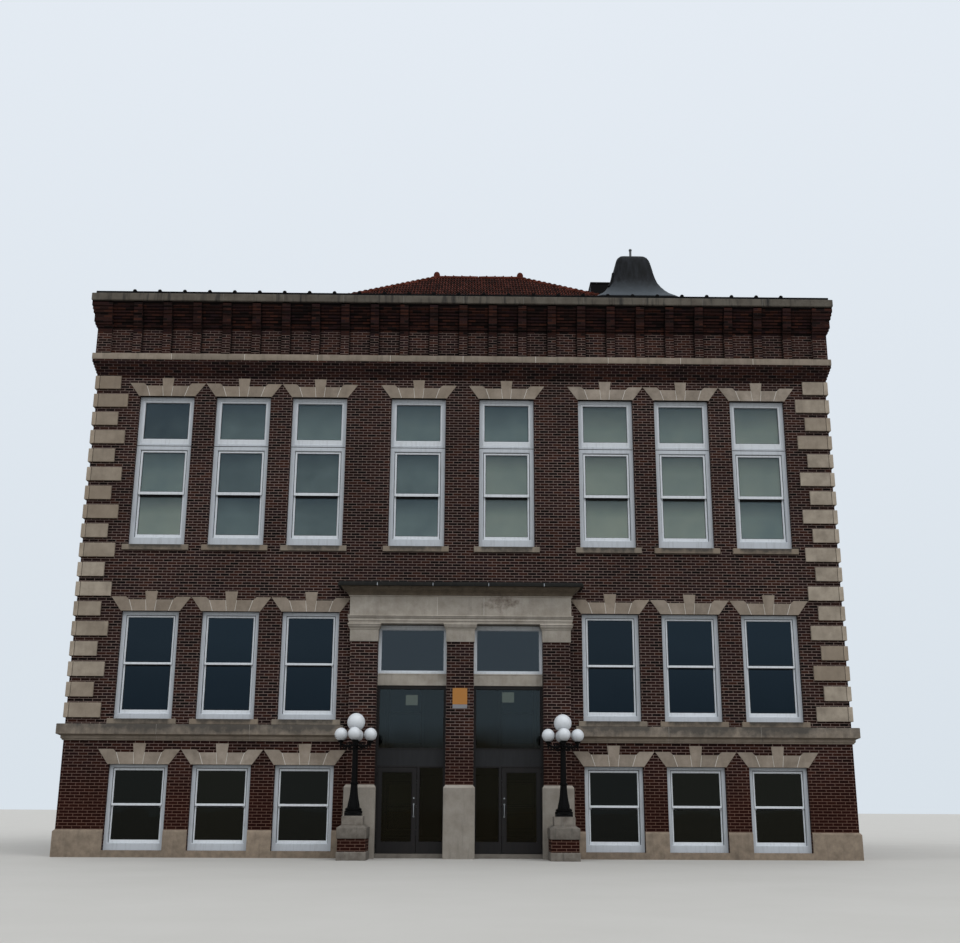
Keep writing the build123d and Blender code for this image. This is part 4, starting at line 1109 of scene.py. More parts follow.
@dataclass
class StoneBands:
    """The plinth, the belt course, the high stone band, the coping and its ribbed metal cap."""

    joint: float = 0.01
    joint_depth: float = 0.004
    lap: float = 0.001  # how far the mortar goes into the stones
    part: float = 0.28  # how often the stain is set along a stone
    belt: Sequence[Pair] = (
        (0.0, 2.574), (0.03, 2.574), (0.036, 2.6), (0.055, 2.612), (0.06, 2.62), (0.06, 2.672), (0.075, 2.678),
        (0.1, 2.69), (0.13, 2.702), (0.15, 2.712), (0.15, 2.925), (0.142, 2.94), (0.0, 2.946),
    )
    band: Sequence[Pair] = ((0.0, 11.9), (0.15, 11.9), (0.155, 11.906), (0.155, 12.053), (0.148, 12.063), (0.0, 12.063))
    coping: Sequence[Pair] = (
        (-0.44, 13.44), (0.245, 13.44), (0.26, 13.448), (0.272, 13.465),
        (0.272, 13.633), (0.262, 13.645), (-0.43, 13.645), (-0.44, 13.635),
    )
    cap: Sequence[Pair] = (
        (-0.41, 13.645), (0.185, 13.645), (0.19, 13.65), (0.19, 13.722),
        (0.182, 13.732), (0.17, 13.735), (-0.35, 13.735), (-0.41, 13.7),
    )
    plinth: Sequence[Pair] = ((0.0, 0.0), (0.046, 0.0), (0.046, 0.548), (0.042, 0.56), (0.01, 0.597), (0.0, 0.6))
    sill_strip: Sequence[Pair] = ((0.0, 0.0), (0.046, 0.0), (0.046, 0.143), (0.04, 0.15), (0.0, 0.15))
    front_plinth_end: float = PIER_OUTER + 0.04
    front_belt_end: float = 2.7
    rib_pitch: float = 0.634
    rib_shift: float = -0.12
    rib_radius: float = 0.05
    rib_height: float = 13.73

    def stones(
        self,
        shape: Shape,
        profile: Sequence[Pair],
        span: Pair,
        length: float,
        chance: random.Random,
        mitres: tuple[int, int] = (0, 0),
        stain: Stain | None = None,
    ) -> None:
        """Lays a band of stones with mortar joints between them.

        Args:
            shape: The shape they go into.
            profile: The band's section.
            span: Its ends along the wall.
            length: The usual length of a stone.
            chance: The source of the stones' tones.
            mitres: 1 for an end that turns the corner.
            stain: The stain at a place.
        """
        count = max(1, round((span[1] - span[0]) / length))
        cuts = [span[0] + (span[1] - span[0]) * k / count for k in range(count + 1)]
        sunk = [(max(proud - self.joint_depth, -WALL) if proud > 0 else proud, z) for proud, z in profile]
        for k in range(count):
            first, last = k == 0, k == count - 1
            start = cuts[k] + (0.0 if first else self.joint / 2)
            end = cuts[k + 1] - (0.0 if last else self.joint / 2)
            parts = max(1, round((end - start) / self.part)) if stain else 1
            stops = [start + (end - start) * i / parts for i in range(parts + 1)]
            shape.run(profile, stops, (first * mitres[0], last * mitres[1]), chance.uniform(-0.3, 0.3), stain)
            if not last:
                shape.run(sunk, (end - self.lap, end + self.joint + self.lap), tone=JOINT_TONE)

    def belt_stain(self, side: Side) -> Stain:
        """How the belt is stained: along its upper edge, most under the windows.

        Args:
            side: The side of the building.

        Returns:
            The stain at a place.
        """

        def stain(u: float, proud: float, z: float) -> float:
            """The stain at one point."""
            under = 1.0 if min(abs(u - bay) for bay in side.bays(Storey.MAIN)) < 0.85 else 0.7
            return 0.9 * under if z > 2.9 else 0.5 * under if z > 2.71 else 0.25

        return stain

    def build_plinth(self, shape: Shape, side: Side, chance: random.Random) -> None:
        """Lays the plinth of one side between its windows and under them.

        Args:
            shape: The plinth's shape.
            side: The side.
            chance: The source of the stones' tones.
        """
        gaps = sorted((u - WINDOW_HALF, u + WINDOW_HALF) for u in side.bays(Storey.GROUND))
        edges = [-side.half, *(edge for gap in gaps for edge in gap), side.half]
        for low, high in zip(edges[::2], edges[1::2]):
            if side is Side.FRONT and low < 0 < high:
                for span in ((low, -self.front_plinth_end), (self.front_plinth_end, high)):
                    self.stones(shape, self.plinth, span, 1.3, chance)
            else:
                self.stones(shape, self.plinth, (low, high), 1.3, chance, (low == edges[0], high == edges[-1]))
        for gap in gaps:
            self.stones(shape, self.sill_strip, gap, 1.4, chance)

    def build(self) -> None:
        """Builds the bands on all four sides."""
        chance = random.Random(7)
        plinth, belt, band, coping, cap, rib = (Shape() for _ in range(6))
        ribs = []
        for side in Side:
            half = side.half
            for shape in (plinth, belt, band, coping, cap):
                shape.place = side.matrix
            self.build_plinth(plinth, side, chance)
            spans = [((-half, half), (1, 1))]
            if side is Side.FRONT:
                spans = [((-half, -self.front_belt_end), (1, 0)), ((self.front_belt_end, half), (0, 1))]
            for span, mitres in spans:
                self.stones(belt, self.belt, span, 1.91, chance, mitres, self.belt_stain(side))
            self.stones(band, self.band, (-half, half), 1.9, chance, (1, 1))
            self.stones(coping, self.coping, (-half, half), 1.52, chance, (1, 1))
            cap.run(self.cap, (-half, half), (1, 1))
            count = int((half - 0.4) // self.rib_pitch)
            middles = [k * self.rib_pitch + self.rib_shift for k in range(-count, count + 1)]
            ribs += [side.matrix @ at(u, 0, self.rib_height) for u in middles]
        plinth.piece("plinth_stones", PLINTH_STONE, "plinth")
        belt.piece("belt_stones", BELT_STONE, "belt_course")
        band.piece("band_stones", BAND_STONE, "stone_band")
        coping.piece("coping_stones", COPING_STONE, "coping")
        cap.piece("cap_sheets", BLACK_SHEET, "coping_cap")
        arc = [math.pi * k / 8 for k in range(9)]
        ring = [(self.rib_radius * math.cos(a), self.rib_radius * math.sin(a)) for a in arc]
        rib.loft([[(x, y, z) for x, z in ring] for y in (-0.2, 0.4)])
        REPEATER.set_out("cap_ribs", rib, ribs, BLACK_SHEET, "coping_cap", seed=3)


@dataclass
class CutStones:
    """The quoins at the corners and the splayed lintels and sills of the windows."""

    quoin_count: int = 18
    quoin_top: float = 11.486
    quoin_pitch: float = 7 * COURSE
    quoin_height: float = 5 * COURSE
    long: float = 0.85
    short: float = 0.64
    proud: float = 0.05
    corner: float = 0.105
    groove: float = 0.012
    gap: float = 0.007
    sill: Sequence[float] = (-0.795, -0.68, -0.6, -0.3, 0.0, 0.3, 0.6, 0.68, 0.795)

    def quoin(self, across: float, back: float) -> Shape:
        """One quoin round a corner at the origin, with a corner strip lightened as a painted highlight and two legs on
        sunk joints.

        Args:
            across: Its length along the face to the left.
            back: Its length along the face to the right.

        Returns:
            The shape.
        """
        shape = Shape()
        p, c, g, h, lap = self.proud, self.corner, self.groove, self.quoin_height, 0.004
        q = p - 0.01
        strip = [(p - c, -p), (p, -p), (p, c - p), (0, c - p), (0, 0), (p - c, 0)]
        left = [(p - across, -p), (p - c - g, -p), (p - c - g, 0), (p - across, 0)]
        right = [(0, c - p + g), (p, c - p + g), (p, back - p), (0, back - p)]
        left_joint = [(p - c - g - lap, -q), (p - c + lap, -q), (p - c + lap, 0), (p - c - g - lap, 0)]
        right_joint = [(0, c - p - lap), (q, c - p - lap), (q, c - p + g + lap), (0, c - p + g + lap)]
        # the corner strip's tone 0.55 is a painted highlight where the corner catches the light
        stones = [(strip, 0, 0.55), (left, 0, 0.0), (right, 0, 0.0)]
        for outline, inset, tone in stones + [(joint, lap, JOINT_TONE) for joint in (left_joint, right_joint)]:
            shape.loft([[(x, y, level) for x, y in outline] for level in (inset, h - inset)], tone)
        return shape

    def quoins(self) -> None:
        """Sets the quoins, long and short by turns, on the four corners."""
        groups: tuple[list[Matrix], list[Matrix]] = ([], [])
        for corner, (x, y) in enumerate(((1, -1), (1, 1), (-1, 1), (-1, -1))):
            for index in range(self.quoin_count):
                z = self.quoin_top - index * self.quoin_pitch - self.quoin_height
                groups[(index + corner) % 2].append(at(x * HALF_WIDTH, y * HALF_DEPTH, z, 90 * corner))
        short, long = self.quoin(self.short, self.long), self.quoin(self.long, self.short)
        for name, shape, places in zip(("quoins_short", "quoins_long"), (short, long), groups):
            REPEATER.set_out(name, shape, places, QUOIN_STONE, "quoins", bevel=0.006, variation=0.2, seed=11)

    def lintels(self) -> None:
        """Sets a splayed lintel of two springers, two infill stones and a keystone over each window, on mortar."""
        shape, gap = Shape(), self.gap
        c4, c5, c7 = 4 * COURSE, 5 * COURSE, 7 * COURSE
        springer = [(0.43 + gap, 0), (0.7, 0), (0.945, c5), (0.6, c5), (0.52 + gap, c4)]
        infill = [(0.1 + gap, 0), (0.43 - gap, 0), (0.52 - gap, c4), (0.1286 + gap, c4)]
        for sign in (1, -1):
            for outline, tone in ((springer, 0.1), (infill, -0.16)):
                shape.slab([(sign * x, z) for x, z in outline], (-0.017, 0), sign * tone)
        shape.slab([(-0.1 + gap, 0), (0.1 - gap, 0), (0.15, c7), (-0.15, c7)], (-0.02, 0), 0.16)
        bed = [(0.69, 0.004), (0.93, c5 - 0.006), (0.61, c5 - 0.006), (0.53, c4 - 0.004), (0.14, c4 - 0.004)]
        shape.slab(bed + [(-x, z) for x, z in reversed(bed)], (-0.0145, 0), JOINT_TONE)
        places = [place for storey in Storey for place in window_places(storey, storey.value[1])]
        REPEATER.set_out("lintel_stones", shape, places, LINTEL_STONE, "window_lintels", variation=0.12, seed=5)

    def sills(self) -> None:
        """Sets the projecting sills, stained in the middle."""
        for name, storey, height in (("main_sills", Storey.MAIN, 0.122), ("upper_sills", Storey.UPPER, 0.135)):
            shape = Shape()
            top = [(0.06, height - 0.008), (0.054, height - 0.001), (0.0, height)]
            profile = [(0.0, 0.0), (0.055, 0.0), (0.06, 0.006), *top]
            shape.run(profile, self.sill, stain=lambda u, _, z: (0.85 if z > 0.05 else 0.5) if abs(u) < 0.62 else 0.1)
            places = window_places(storey, storey.value[0] - height)
            REPEATER.set_out(name, shape, places, STONE, "window_sills", seed=9)

    def build(self) -> None:
        """Builds all cut stones."""
        self.quoins()
        self.lintels()
        self.sills()


@dataclass
class SashWindow:
    """One window at the origin: its white frame and sashes, its panes, and the dark pieces round both: gaskets round
    the panes and painted shade in the gaps round the sashes.

    Each sash is its foot and head, the widths of its stiles, foot and head rails, and the depth of its face. The inner
    sash is set back behind the outer one.
    """

    storey: Storey
    glass_finish: WindowGlass
    surround: tuple[Pair, Triple]  # its foot and head, and the widths of its sides, foot and head
    outer: tuple[Pair, Triple]
    inner: tuple[Pair, Triple]
    seam: Pair  # the dark line between the sashes
    sash_half: float = 0.59
    half: float = 0.675
    y: Pair = (0.1, 0.21)
    gap: float = 0.014
    lap: float = 0.004
    outer_depth: float = 0.125
    inner_depth: float = 0.168
    white: Shape = field(default_factory=Shape)
    glass: Shape = field(default_factory=Shape)
    gasket_and_shade: Shape = field(default_factory=Shape)

    def add_frame(self, z: Pair, widths: Triple) -> None:
        """The fixed frame, greyed by the rain, from its foot and head and the widths of its members."""
        self.white.casing(self.half, z, widths, self.y, 0.014, tone=-0.2)

    def sash(self, z: Pair, widths: Triple, depth: float) -> None:
        """A sash with its pane, the dark gasket round the pane and a dark sheet behind the gap round the sash, painted
        shade.

        Args:
            z: Its foot and head.
            widths: The widths of its stiles, foot and head rails.
            depth: The depth of its face behind the wall face.
        """
        side, foot, head = widths
        gap, half = self.gap, self.sash_half
        clear = (side - gap, foot, head - gap)
        self.white.casing(half - gap, (z[0], z[1] - gap), clear, (depth, depth + 0.04), 0.01, tone=0.45)
        # painted shade: a dark sheet behind the gap round the sash shows as its shadow line
        seam = (2 * gap,) * 3
        self.gasket_and_shade.casing(half + gap / 2, (z[0], z[1] + gap / 2), seam, (depth + 0.014, depth + 0.03), 0.002)
        inner, edge = half - side + self.lap, (z[0] + foot - self.lap, z[1] - head + self.lap)
        self.gasket_and_shade.casing(inner, edge, (0.012,) * 3, (depth + 0.013, depth + 0.03), 0.002)
        self.glass.block((-inner, inner), (depth + 0.02, depth + 0.026), edge)

    def add_transom(self) -> None:
        """The transom light over an upper window, with its own frame and a dark gasket round its pane."""
        self.add_frame((9.718, 10.975), (0.085, 0.06, 0.09))
        self.white.casing(0.59, (9.778, 10.885), (0.042, 0.122, 0.045), (0.118, 0.2), 0.014, tone=0.3)
        self.glass.block((-0.552, 0.552), (0.15, 0.156), (9.896, 10.844))
        self.gasket_and_shade.casing(0.552, (9.896, 10.844), (0.012,) * 3, (0.134, 0.15), 0.002)

    def build(self) -> None:
        """Sets out the windows of the storey."""
        if self.storey is Storey.UPPER:
            self.add_transom()
        self.add_frame(*self.surround)
        self.sash(*self.outer, self.outer_depth)
        self.sash(*self.inner, self.inner_depth)
        self.gasket_and_shade.block((-0.52, 0.52), (0.14, 0.17), self.seam)
        if self.storey is Storey.UPPER:
            self.gasket_and_shade.block((-0.66, 0.66), (0.112, 0.2), (9.7, 9.718))
        name, places = self.storey.name.lower(), window_places(self.storey)
        REPEATER.set_out(f"{name}_seals", self.gasket_and_shade, places, BLACK_SHEET, "window_frames")
        REPEATER.set_out(f"{name}_sashes", self.white, places, WHITE_PAINT, "window_frames", seed=13)
        REPEATER.set_out(f"{name}_panes", self.glass, places, self.glass_finish, "window_glass", seed=13)


GROUND_WINDOW = SashWindow(
    Storey.GROUND,
    GROUND_GLASS,
    surround=((0.15, 2.035), (0.085, 0.16, 0.07)),
    outer=((1.125, 1.965), (0.045, 0.05, 0.06)),
    inner=((0.31, 1.135), (0.045, 0.065, 0.045)),
    seam=(1.092, 1.127),
)
MAIN_WINDOW = SashWindow(
    Storey.MAIN,
    MAIN_GLASS,
    surround=((3.068, 5.58), (0.09, 0.13, 0.085)),
    outer=((4.335, 5.495), (0.05, 0.05, 0.05)),
    inner=((3.198, 4.36), (0.05, 0.085, 0.045)),
    seam=(4.302, 4.337),
    sash_half=0.585,
)
UPPER_WINDOW = SashWindow(
    Storey.UPPER,
    UPPER_GLASS,
    surround=((7.195, 9.7), (0.1, 0.2, 0.1)),
    outer=((8.475, 9.6), (0.058, 0.07, 0.055)),
    inner=((7.395, 8.49), (0.058, 0.085, 0.06)),
    seam=(8.42, 8.477),
    sash_half=0.575,
)


@dataclass
class Shades:
    """The roller shades of the upper windows, each with a hem bar."""

    half: float = 0.6
    y: Pair = (0.214, 0.217)
    hem: Pair = (7.41, 7.44)
    lengths: Sequence[Triple] = ((9.74, 10.2, 10.9), (8.46, 9.1, 9.7), (7.44, 8.0, 8.46))
    front: Sequence[Triple] = (  # the tones of each shade's three lengths, from the top
        (0.08, 0.5, 0.7), (0.3, 0.25, 0.33), (0.42, 0.28, 0.3), (0.46, 0.34, 0.42),
        (0.44, 0.66, 0.7), (0.62, 0.72, 0.78), (0.58, 0.65, 0.72), (0.68, 0.68, 0.52),
    )

    def build(self) -> None:
        """Hangs the shades."""
        chance = random.Random(21)
        cloth = Shape()
        for side in Side:
            cloth.place = side.matrix
            for index, u in enumerate(sorted(side.bays(Storey.UPPER))):
                tones = self.front[index] if side is Side.FRONT else [chance.uniform(0.2, 0.7) for _ in range(3)]
                left, right = u - self.half, u + self.half
                for tone, levels in zip(tones, self.lengths):
                    corners = [(left, self.y[0]), (right, self.y[0]), (right, self.y[1]), (left, self.y[1])]
                    rings = [[(*corner, z) for corner in corners] for z in levels]
                    # painted shade and painted reflection: the top ring of each length gets stain 1
                    cloth.loft(rings, tone - 0.5, stains=[0.0] * 4 + [0.15] * 4 + [1.0] * 4)
                cloth.block((left, right), (0.212, 0.22), self.hem, tones[2] - 0.6)
        cloth.piece("roller_shades", CLOTH, "window_shades")


@dataclass
class Entrance:
    """The stone and metal round the entrance: pier bases, capitals, entablature, flashing and spandrels."""

    x: Pair = (-PIER_OUTER, PIER_OUTER)
    y: Pair = (-PIER_PROUD, 0.0)
    base: Sequence[Pair] = ((0.0, 0.04), (1.545, 0.04))
    base_round: Sequence[Pair] = ((1.545, 0.04), (1.562, 0.033), (1.578, 0.02), (1.592, 0.008), (1.61, 0.0))
    # the tones paint the light and shade of the mouldings: the brightest bands are painted highlights on the top
    # fillets, the darkest painted shade
    capital: Sequence[Band] = (
        (0.05, ((4.87, 0.012), (4.88, 0.016), (5.145, 0.016))),
        (0.4, ((5.145, 0.01), (5.15, 0.024), (5.163, 0.03), (5.175, 0.03))),
        (
            -0.15,
            ((5.175, 0.01), (5.18, 0.038), (5.2, 0.044), (5.215, 0.058), (5.225, 0.062), (5.262, 0.062), (5.264, 0.05)),
        ),
        (0.85, ((5.264, 0.05), (5.268, 0.075), (5.29, 0.075))),
    )
    # as on the capital, these tones paint highlights on the fillets and shade between them
    architrave: Sequence[Band] = (
        (-0.05, ((5.29, 0.05), (5.345, 0.05), (5.347, 0.04))),
        (0.3, ((5.347, 0.05), (5.352, 0.062), (5.4, 0.062), (5.402, 0.05))),
        (-0.45, ((5.402, 0.06), (5.41, 0.07), (5.43, 0.078), (5.452, 0.08), (5.457, 0.05))),
        (0.88, ((5.457, 0.05), (5.462, 0.074), (5.478, 0.08), (5.486, 0.08), (5.49, 0.05))),
    )
    middle_pier: Pair = (-PIER_HALF, PIER_HALF)
    clip_places: Sequence[float] = (-1.967, -0.657, 0.657, 1.967)
    frieze: Pair = (5.49, 5.93)
    frieze_proud: float = 0.036
    frieze_joints: Pair = (-0.55, 0.55)
    cornice: Sequence[Pair] = (
        (5.951, 0.05), (5.957, 0.08), (5.98, 0.083), (6.005, 0.094), (6.03, 0.115), (6.055, 0.148), (6.08, 0.182),
        (6.105, 0.205), (6.125, 0.212), (6.128, 0.235), (6.15, 0.24),
    )
    flashing_steps: Sequence[Pair] = (
        (6.15, 0.29), (6.152, 0.315), (6.2, 0.315), (6.205, 0.3), (6.24, 0.29), (6.25, 0.27),
    )

    def bases(self) -> None:
        """The pier bases, hollowed to the shaft at their tops."""
        shape = Shape(FRONT)
        for x in (-PIER_PITCH, 0.0, PIER_PITCH):
            wide = (x - PIER_HALF, x + PIER_HALF)
            shape.stack(wide, self.y, self.base, 0.05 if x else 0.15)
            # tone 0.55 paints a highlight on the rounded top of each base
            shape.stack(wide, self.y, self.base_round, 0.55)
        shape.block((-0.36, 0.36), (0.0, 0.094), (0.0, 1.57))
        shape.block(self.middle_pier, (0.0, WALL), (0.0, self.base_round[-1][0] - 0.001))
        shape.piece("pier_base_stones", PIER_STONE, "pier_bases")

    def capitals(self) -> None:
        """The capitals, plain blocks under a flare of mouldings."""
        shape = Shape(FRONT)
        for x in (-PIER_PITCH, 0.0, PIER_PITCH):
            for tone, levels in self.capital:
                shape.stack((x - PIER_HALF, x + PIER_HALF), self.y, levels, tone)
        shape.block(self.middle_pier, (0.0, WALL), (4.87, 5.29))
        shape.piece("capital_stones", FRIEZE_STONE, "pier_capitals")

    def entablature(self) -> None:
        """The two-fascia architrave, the bare frieze of jointed stones and the swept cornice."""
        shape, crown = Shape(FRONT), Shape(FRONT)
        for tone, levels in self.architrave:
            shape.stack(self.x, self.y, levels, tone)
        face = self.y[0] - self.frieze_proud
        cuts = [self.x[0] - self.frieze_proud, *self.frieze_joints, self.x[1] + self.frieze_proud]
        for k, (low, high) in enumerate(zip(cuts, cuts[1:])):
            inset = (0.003 if k else 0.0, 0.003 if k < len(cuts) - 2 else 0.0)
            shape.block((low + inset[0], high - inset[1]), (face, 0.0), self.frieze, 0.08 * (-1) ** k)
        shape.block(self.x, (face + 0.003, 0.0), self.frieze, JOINT_TONE)
        # tone 0.85 paints a highlight on this fillet
        shape.stack(self.x, self.y, [(5.93, 0.05), (5.937, 0.06), (5.95, 0.064)], 0.85)
        shape.piece("entablature_stones", FRIEZE_STONE, "entablature")
        crown.stack(self.x, self.y, self.cornice)
        crown.piece("cornice_stones", CORNICE_STONE_IN_PAINTED_SHADE, "entablature")

    def flashing(self) -> None:
        """The dark flashing on the cornice, with its strap clips."""
        shape, clip = Shape(FRONT), Shape()
        shape.stack(self.x, self.y, self.flashing_steps)
        shape.piece("cornice_flashing", DARK_SHEET, "entrance_flashing")
        for back, z in ((-0.312, (6.146, 6.222)), (-0.235, (6.146, 6.15)), (-0.28, (6.212, 6.22))):
            clip.block((-0.009, 0.009), (self.y[0] - 0.319, self.y[0] + back), z)
        places = [FRONT @ at(x) for x in self.clip_places]
        REPEATER.set_out("flashing_clips", clip, places, SATIN, "entrance_flashing")

    def spandrels(self) -> None:
        """The stone panels over the storefronts."""
        shape = Shape(FRONT)
        for sign in SIGNS:
            low, high = ordered(sign * PIER_HALF, sign * ENTRY_HALF)
            for y, foot, tone in (((0.06, 0.26), 3.872, 0.2), ((0.052, 0.1), 4.118, 0.25)):
                shape.block((low + 0.003, high - 0.003), y, (foot, 4.148), tone)
        shape.piece("spandrel_stones", FRIEZE_STONE, "spandrel_panels", bevel=0.004)

    def transoms(self) -> None:
        """The white transom windows and their panes."""
        shape, glass = Shape(FRONT), Shape(FRONT)
        half = (ENTRY_HALF - PIER_HALF) / 2 - 0.002
        for middle in (-STOREFRONT_MIDDLE, STOREFRONT_MIDDLE):
            shape.casing(half, (4.152, 5.288), (0.055, 0.05, 0.1), (0.1, 0.21), 0.01, 0.25, middle)
            shape.casing(half - 0.055, (4.202, 5.188), (0.02, 0.025, 0.012), (0.135, 0.19), 0.006, 0.0, middle)
            # tone 0.5 whitens the sloped head, a painted highlight
            shape.block((middle - half + 0.045, middle + half - 0.045), (0.094, 0.2), (5.2, 5.286), 0.5)
            glass.block((middle - half + 0.071, middle + half - 0.071), (0.155, 0.161), (4.223, 5.18))
        shape.piece("transom_casings", WHITE_PAINT, "transom_frames")
        glass.piece("transom_panes", TRANSOM_GLASS, "entrance_glass")

    def plate(self) -> None:
        """The bare painted plate on the middle pier, with its four screws."""
        shape = Shape(FRONT)
        y = (self.y[0] - 0.008, self.y[0])
        shape.block((-0.17, 0.17), y, (3.42, 3.795), -0.2)
        shape.block((-0.17, 0.17), y, (3.33, 3.418), 0.4)
        for x in (-0.145, 0.145):
            for z in (3.36, 3.765):
                shape.ball(0.007, (x, y[0], z), 10, 6, 0.4)
        shape.piece("painted_plate", SIGN, "sign_plate", bevel=0.001)

    def build(self) -> None:
        """Builds the entrance."""
        upper = (self.entablature, self.flashing, self.spandrels, self.transoms)
        for make in (self.bases, self.capitals, *upper, self.plate):
            make()


def on_front() -> Shape:
    """An empty shape, drawn on the front."""
    return Shape(FRONT)


@dataclass
class Storefront:
    """The dark aluminium storefronts between the piers and their two hinged doors."""

    y: Pair = (0.1, 0.2)
    z: Pair = (0.1, 3.87)
    post: float = 0.05
    mullion: float = 0.055
    head: Pair = (2.01, 2.43)
    head_rail: float = 0.03
    top_rail: float = 0.07
    side_sill: float = 0.35
    bead: float = 0.014
    lap: float = 0.004
    leaf: Pair = (0.11, 2.002)
    leaf_width: float = 0.905
    leaf_depth: float = 0.045
    stile: float = 0.1
    kick: float = 0.238
    hinge_gap: float = 0.006
    latch_gap: float = 0.009
    hinge_heights: Pair = (0.26, 1.84)
    pull: Pair = (0.915, 1.185)
    pull_reach: float = 0.0425
    pull_bend: float = 0.012
    lock: float = 1.32
    push: float = 1.0
    metal: Shape = field(default_factory=on_front)
    rails: Shape = field(default_factory=on_front)
    panel: Shape = field(default_factory=on_front)
    glass: Shape = field(default_factory=on_front)
    card: Shape = field(default_factory=on_front)

    def light(self, metal: Shape, glass: Shape, x: Pair, z: Pair, y: Pair) -> None:
        """A glazed light with its beads.

        Args:
            metal: The metal's shape.
            glass: The panes' shape.
            x: Its sides.
            z: Its foot and head.
            y: The front and back of the metal round it.
        """
        middle, half, depth = (x[0] + x[1]) / 2, (x[1] - x[0]) / 2, (y[0] + y[1]) / 2
        metal.casing(half, z, (self.bead,) * 3, (y[0] + 0.014, y[1] - 0.008), 0.006, 0.15, middle)
        inset = self.bead - self.lap
        reach = half - inset
        glass.block((middle - reach, middle + reach), (depth, depth + 0.008), (z[0] + inset, z[1] - inset))

    def hinges(self, shape: Shape, axis: float, sign: int, upper: bool) -> None:
        """The halves of the butt hinges on one side.

        Args:
            shape: The metal's shape.
            axis: The hinge axis along the wall.
            sign: The side that the plate lies on.
            upper: Whether these are the leaf's upper halves.
        """
        for middle in self.hinge_heights:
            z = (middle + 0.0003, middle + 0.05) if upper else (middle - 0.05, middle)
            knuckle = [(0.0065, z[0]), (0.008, z[0] + 0.001), (0.008, z[1] - 0.001), (0.0065, z[1])]
            shape.turning(knuckle, 16, (axis, self.y[0] - 0.01))
            shape.block(ordered(axis, axis + sign * 0.034), (self.y[0] - 0.004, self.y[0]), z)

    def pulls(self, x: float, ends: Pair) -> Shape:
        """The bent pull and the lock outside, and the push bar inside.

        Args:
            x: The place of the pull along the wall.
            ends: The ends of the push bar.

        Returns:
            The shape.
        """
        shape = Shape(FRONT)
        face, bar, back = self.y[0], self.y[0] - self.pull_reach, self.y[0] + self.leaf_depth
        low, high, bend = *self.pull, self.pull_bend
        path = [(face, low), (bar + bend, low), (bar, low + bend), (bar, high - bend), (bar + bend, high), (face, high)]
        shape.tube([(x, *point) for point in path], [0.0115], 12)
        for z, reach, radius in ((low, 0.006, 0.02), (high, 0.006, 0.02), (self.lock, 0.01, 0.017)):
            shape.tube([(x, face, z), (x, face - reach, z)], [radius], 16)
        bar = [(ends[0] - 0.02, back + 0.03, self.push), (ends[1] + 0.02, back + 0.03, self.push)]
        shape.tube(bar, [0.012], 12)
        for end in ends:
            shape.tube([(end, back, self.push), (end, back + 0.034, self.push)], [0.01], 12)
        return shape

    def door(self, name: str, latch: float, sign: int, body: Body) -> None:
        """A glazed leaf with its hinge halves and pulls.

        Args:
            name: left or right.
            latch: The latch edge along the wall.
            sign: The side of the entrance.
            body: The body it rides on.
        """
        metal, glass = Shape(FRONT), Shape(FRONT)
        hinge = latch + sign * self.leaf_width
        middle, half = (latch + hinge) / 2, self.leaf_width / 2
        y = (self.y[0], self.y[0] + self.leaf_depth)
        metal.casing(half, self.leaf, (self.stile, self.kick, self.stile), y, 0.004, 0.0, middle)
        x = (middle - half + self.stile, middle + half - self.stile)
        z = (self.leaf[0] + self.kick, self.leaf[1] - self.stile)
        self.light(metal, glass, x, z, (y[0] - 0.008, y[1] + 0.004))
        self.hinges(metal, hinge + sign * self.hinge_gap / 2, -sign, True)
        grip = latch + sign * 0.055
        metal.turning([(0.016, 1.16), (0.016, 1.162)], 16, (grip, y[0] + 0.006))
        metal.piece(f"{name}_leaf_frame", BRONZE, f"door_{name}", body=body)
        glass.piece(f"{name}_leaf_pane", DOOR_GLASS, f"door_{name}_glass", body=body)
        pulls = self.pulls(grip, ordered(latch + sign * 0.11, hinge - sign * 0.11))
        pulls.piece(f"{name}_leaf_pulls", SATIN, f"door_{name}", body=body)

    def bay(self, name: str, sign: int, body: Body) -> None:
        """One storefront between two piers.

        Args:
            name: left or right.
            sign: The side of the entrance.
            body: The body of its door.
        """
        outer, inner = sign * ENTRY_HALF, sign * PIER_HALF
        clear = ordered(outer - sign * self.post, inner + sign * self.post)
        hinge = outer - sign * (self.post + self.hinge_gap)
        latch = hinge - sign * self.leaf_width
        mullion = latch - sign * self.latch_gap
        side = ordered(mullion - sign * self.mullion, inner + sign * self.post)
        self.metal.block(ordered(outer, outer - sign * self.post), self.y, self.z)
        self.metal.block(ordered(inner, inner + sign * self.post), self.y, self.z)
        self.metal.block(ordered(mullion, mullion - sign * self.mullion), self.y, (self.z[0], self.head[0]))
        self.hinges(self.metal, hinge + sign * self.hinge_gap / 2, sign, False)
        low, high, top = self.head[0] + self.head_rail, self.head[1] - self.head_rail, self.z[1] - self.top_rail
        self.panel.block(clear, (self.y[0] + 0.006, self.y[1]), (low, high))
        for z in ((self.head[0], low), (high, self.head[1]), (top, self.z[1])):
            self.rails.block(clear, self.y, z)
        self.rails.block(side, self.y, (self.z[0], self.side_sill))
        self.light(self.rails, self.glass, clear, (self.head[1], top), self.y)
        self.light(self.rails, self.glass, side, (self.side_sill, self.head[0]), self.y)
        self.door(name, latch, sign, body)

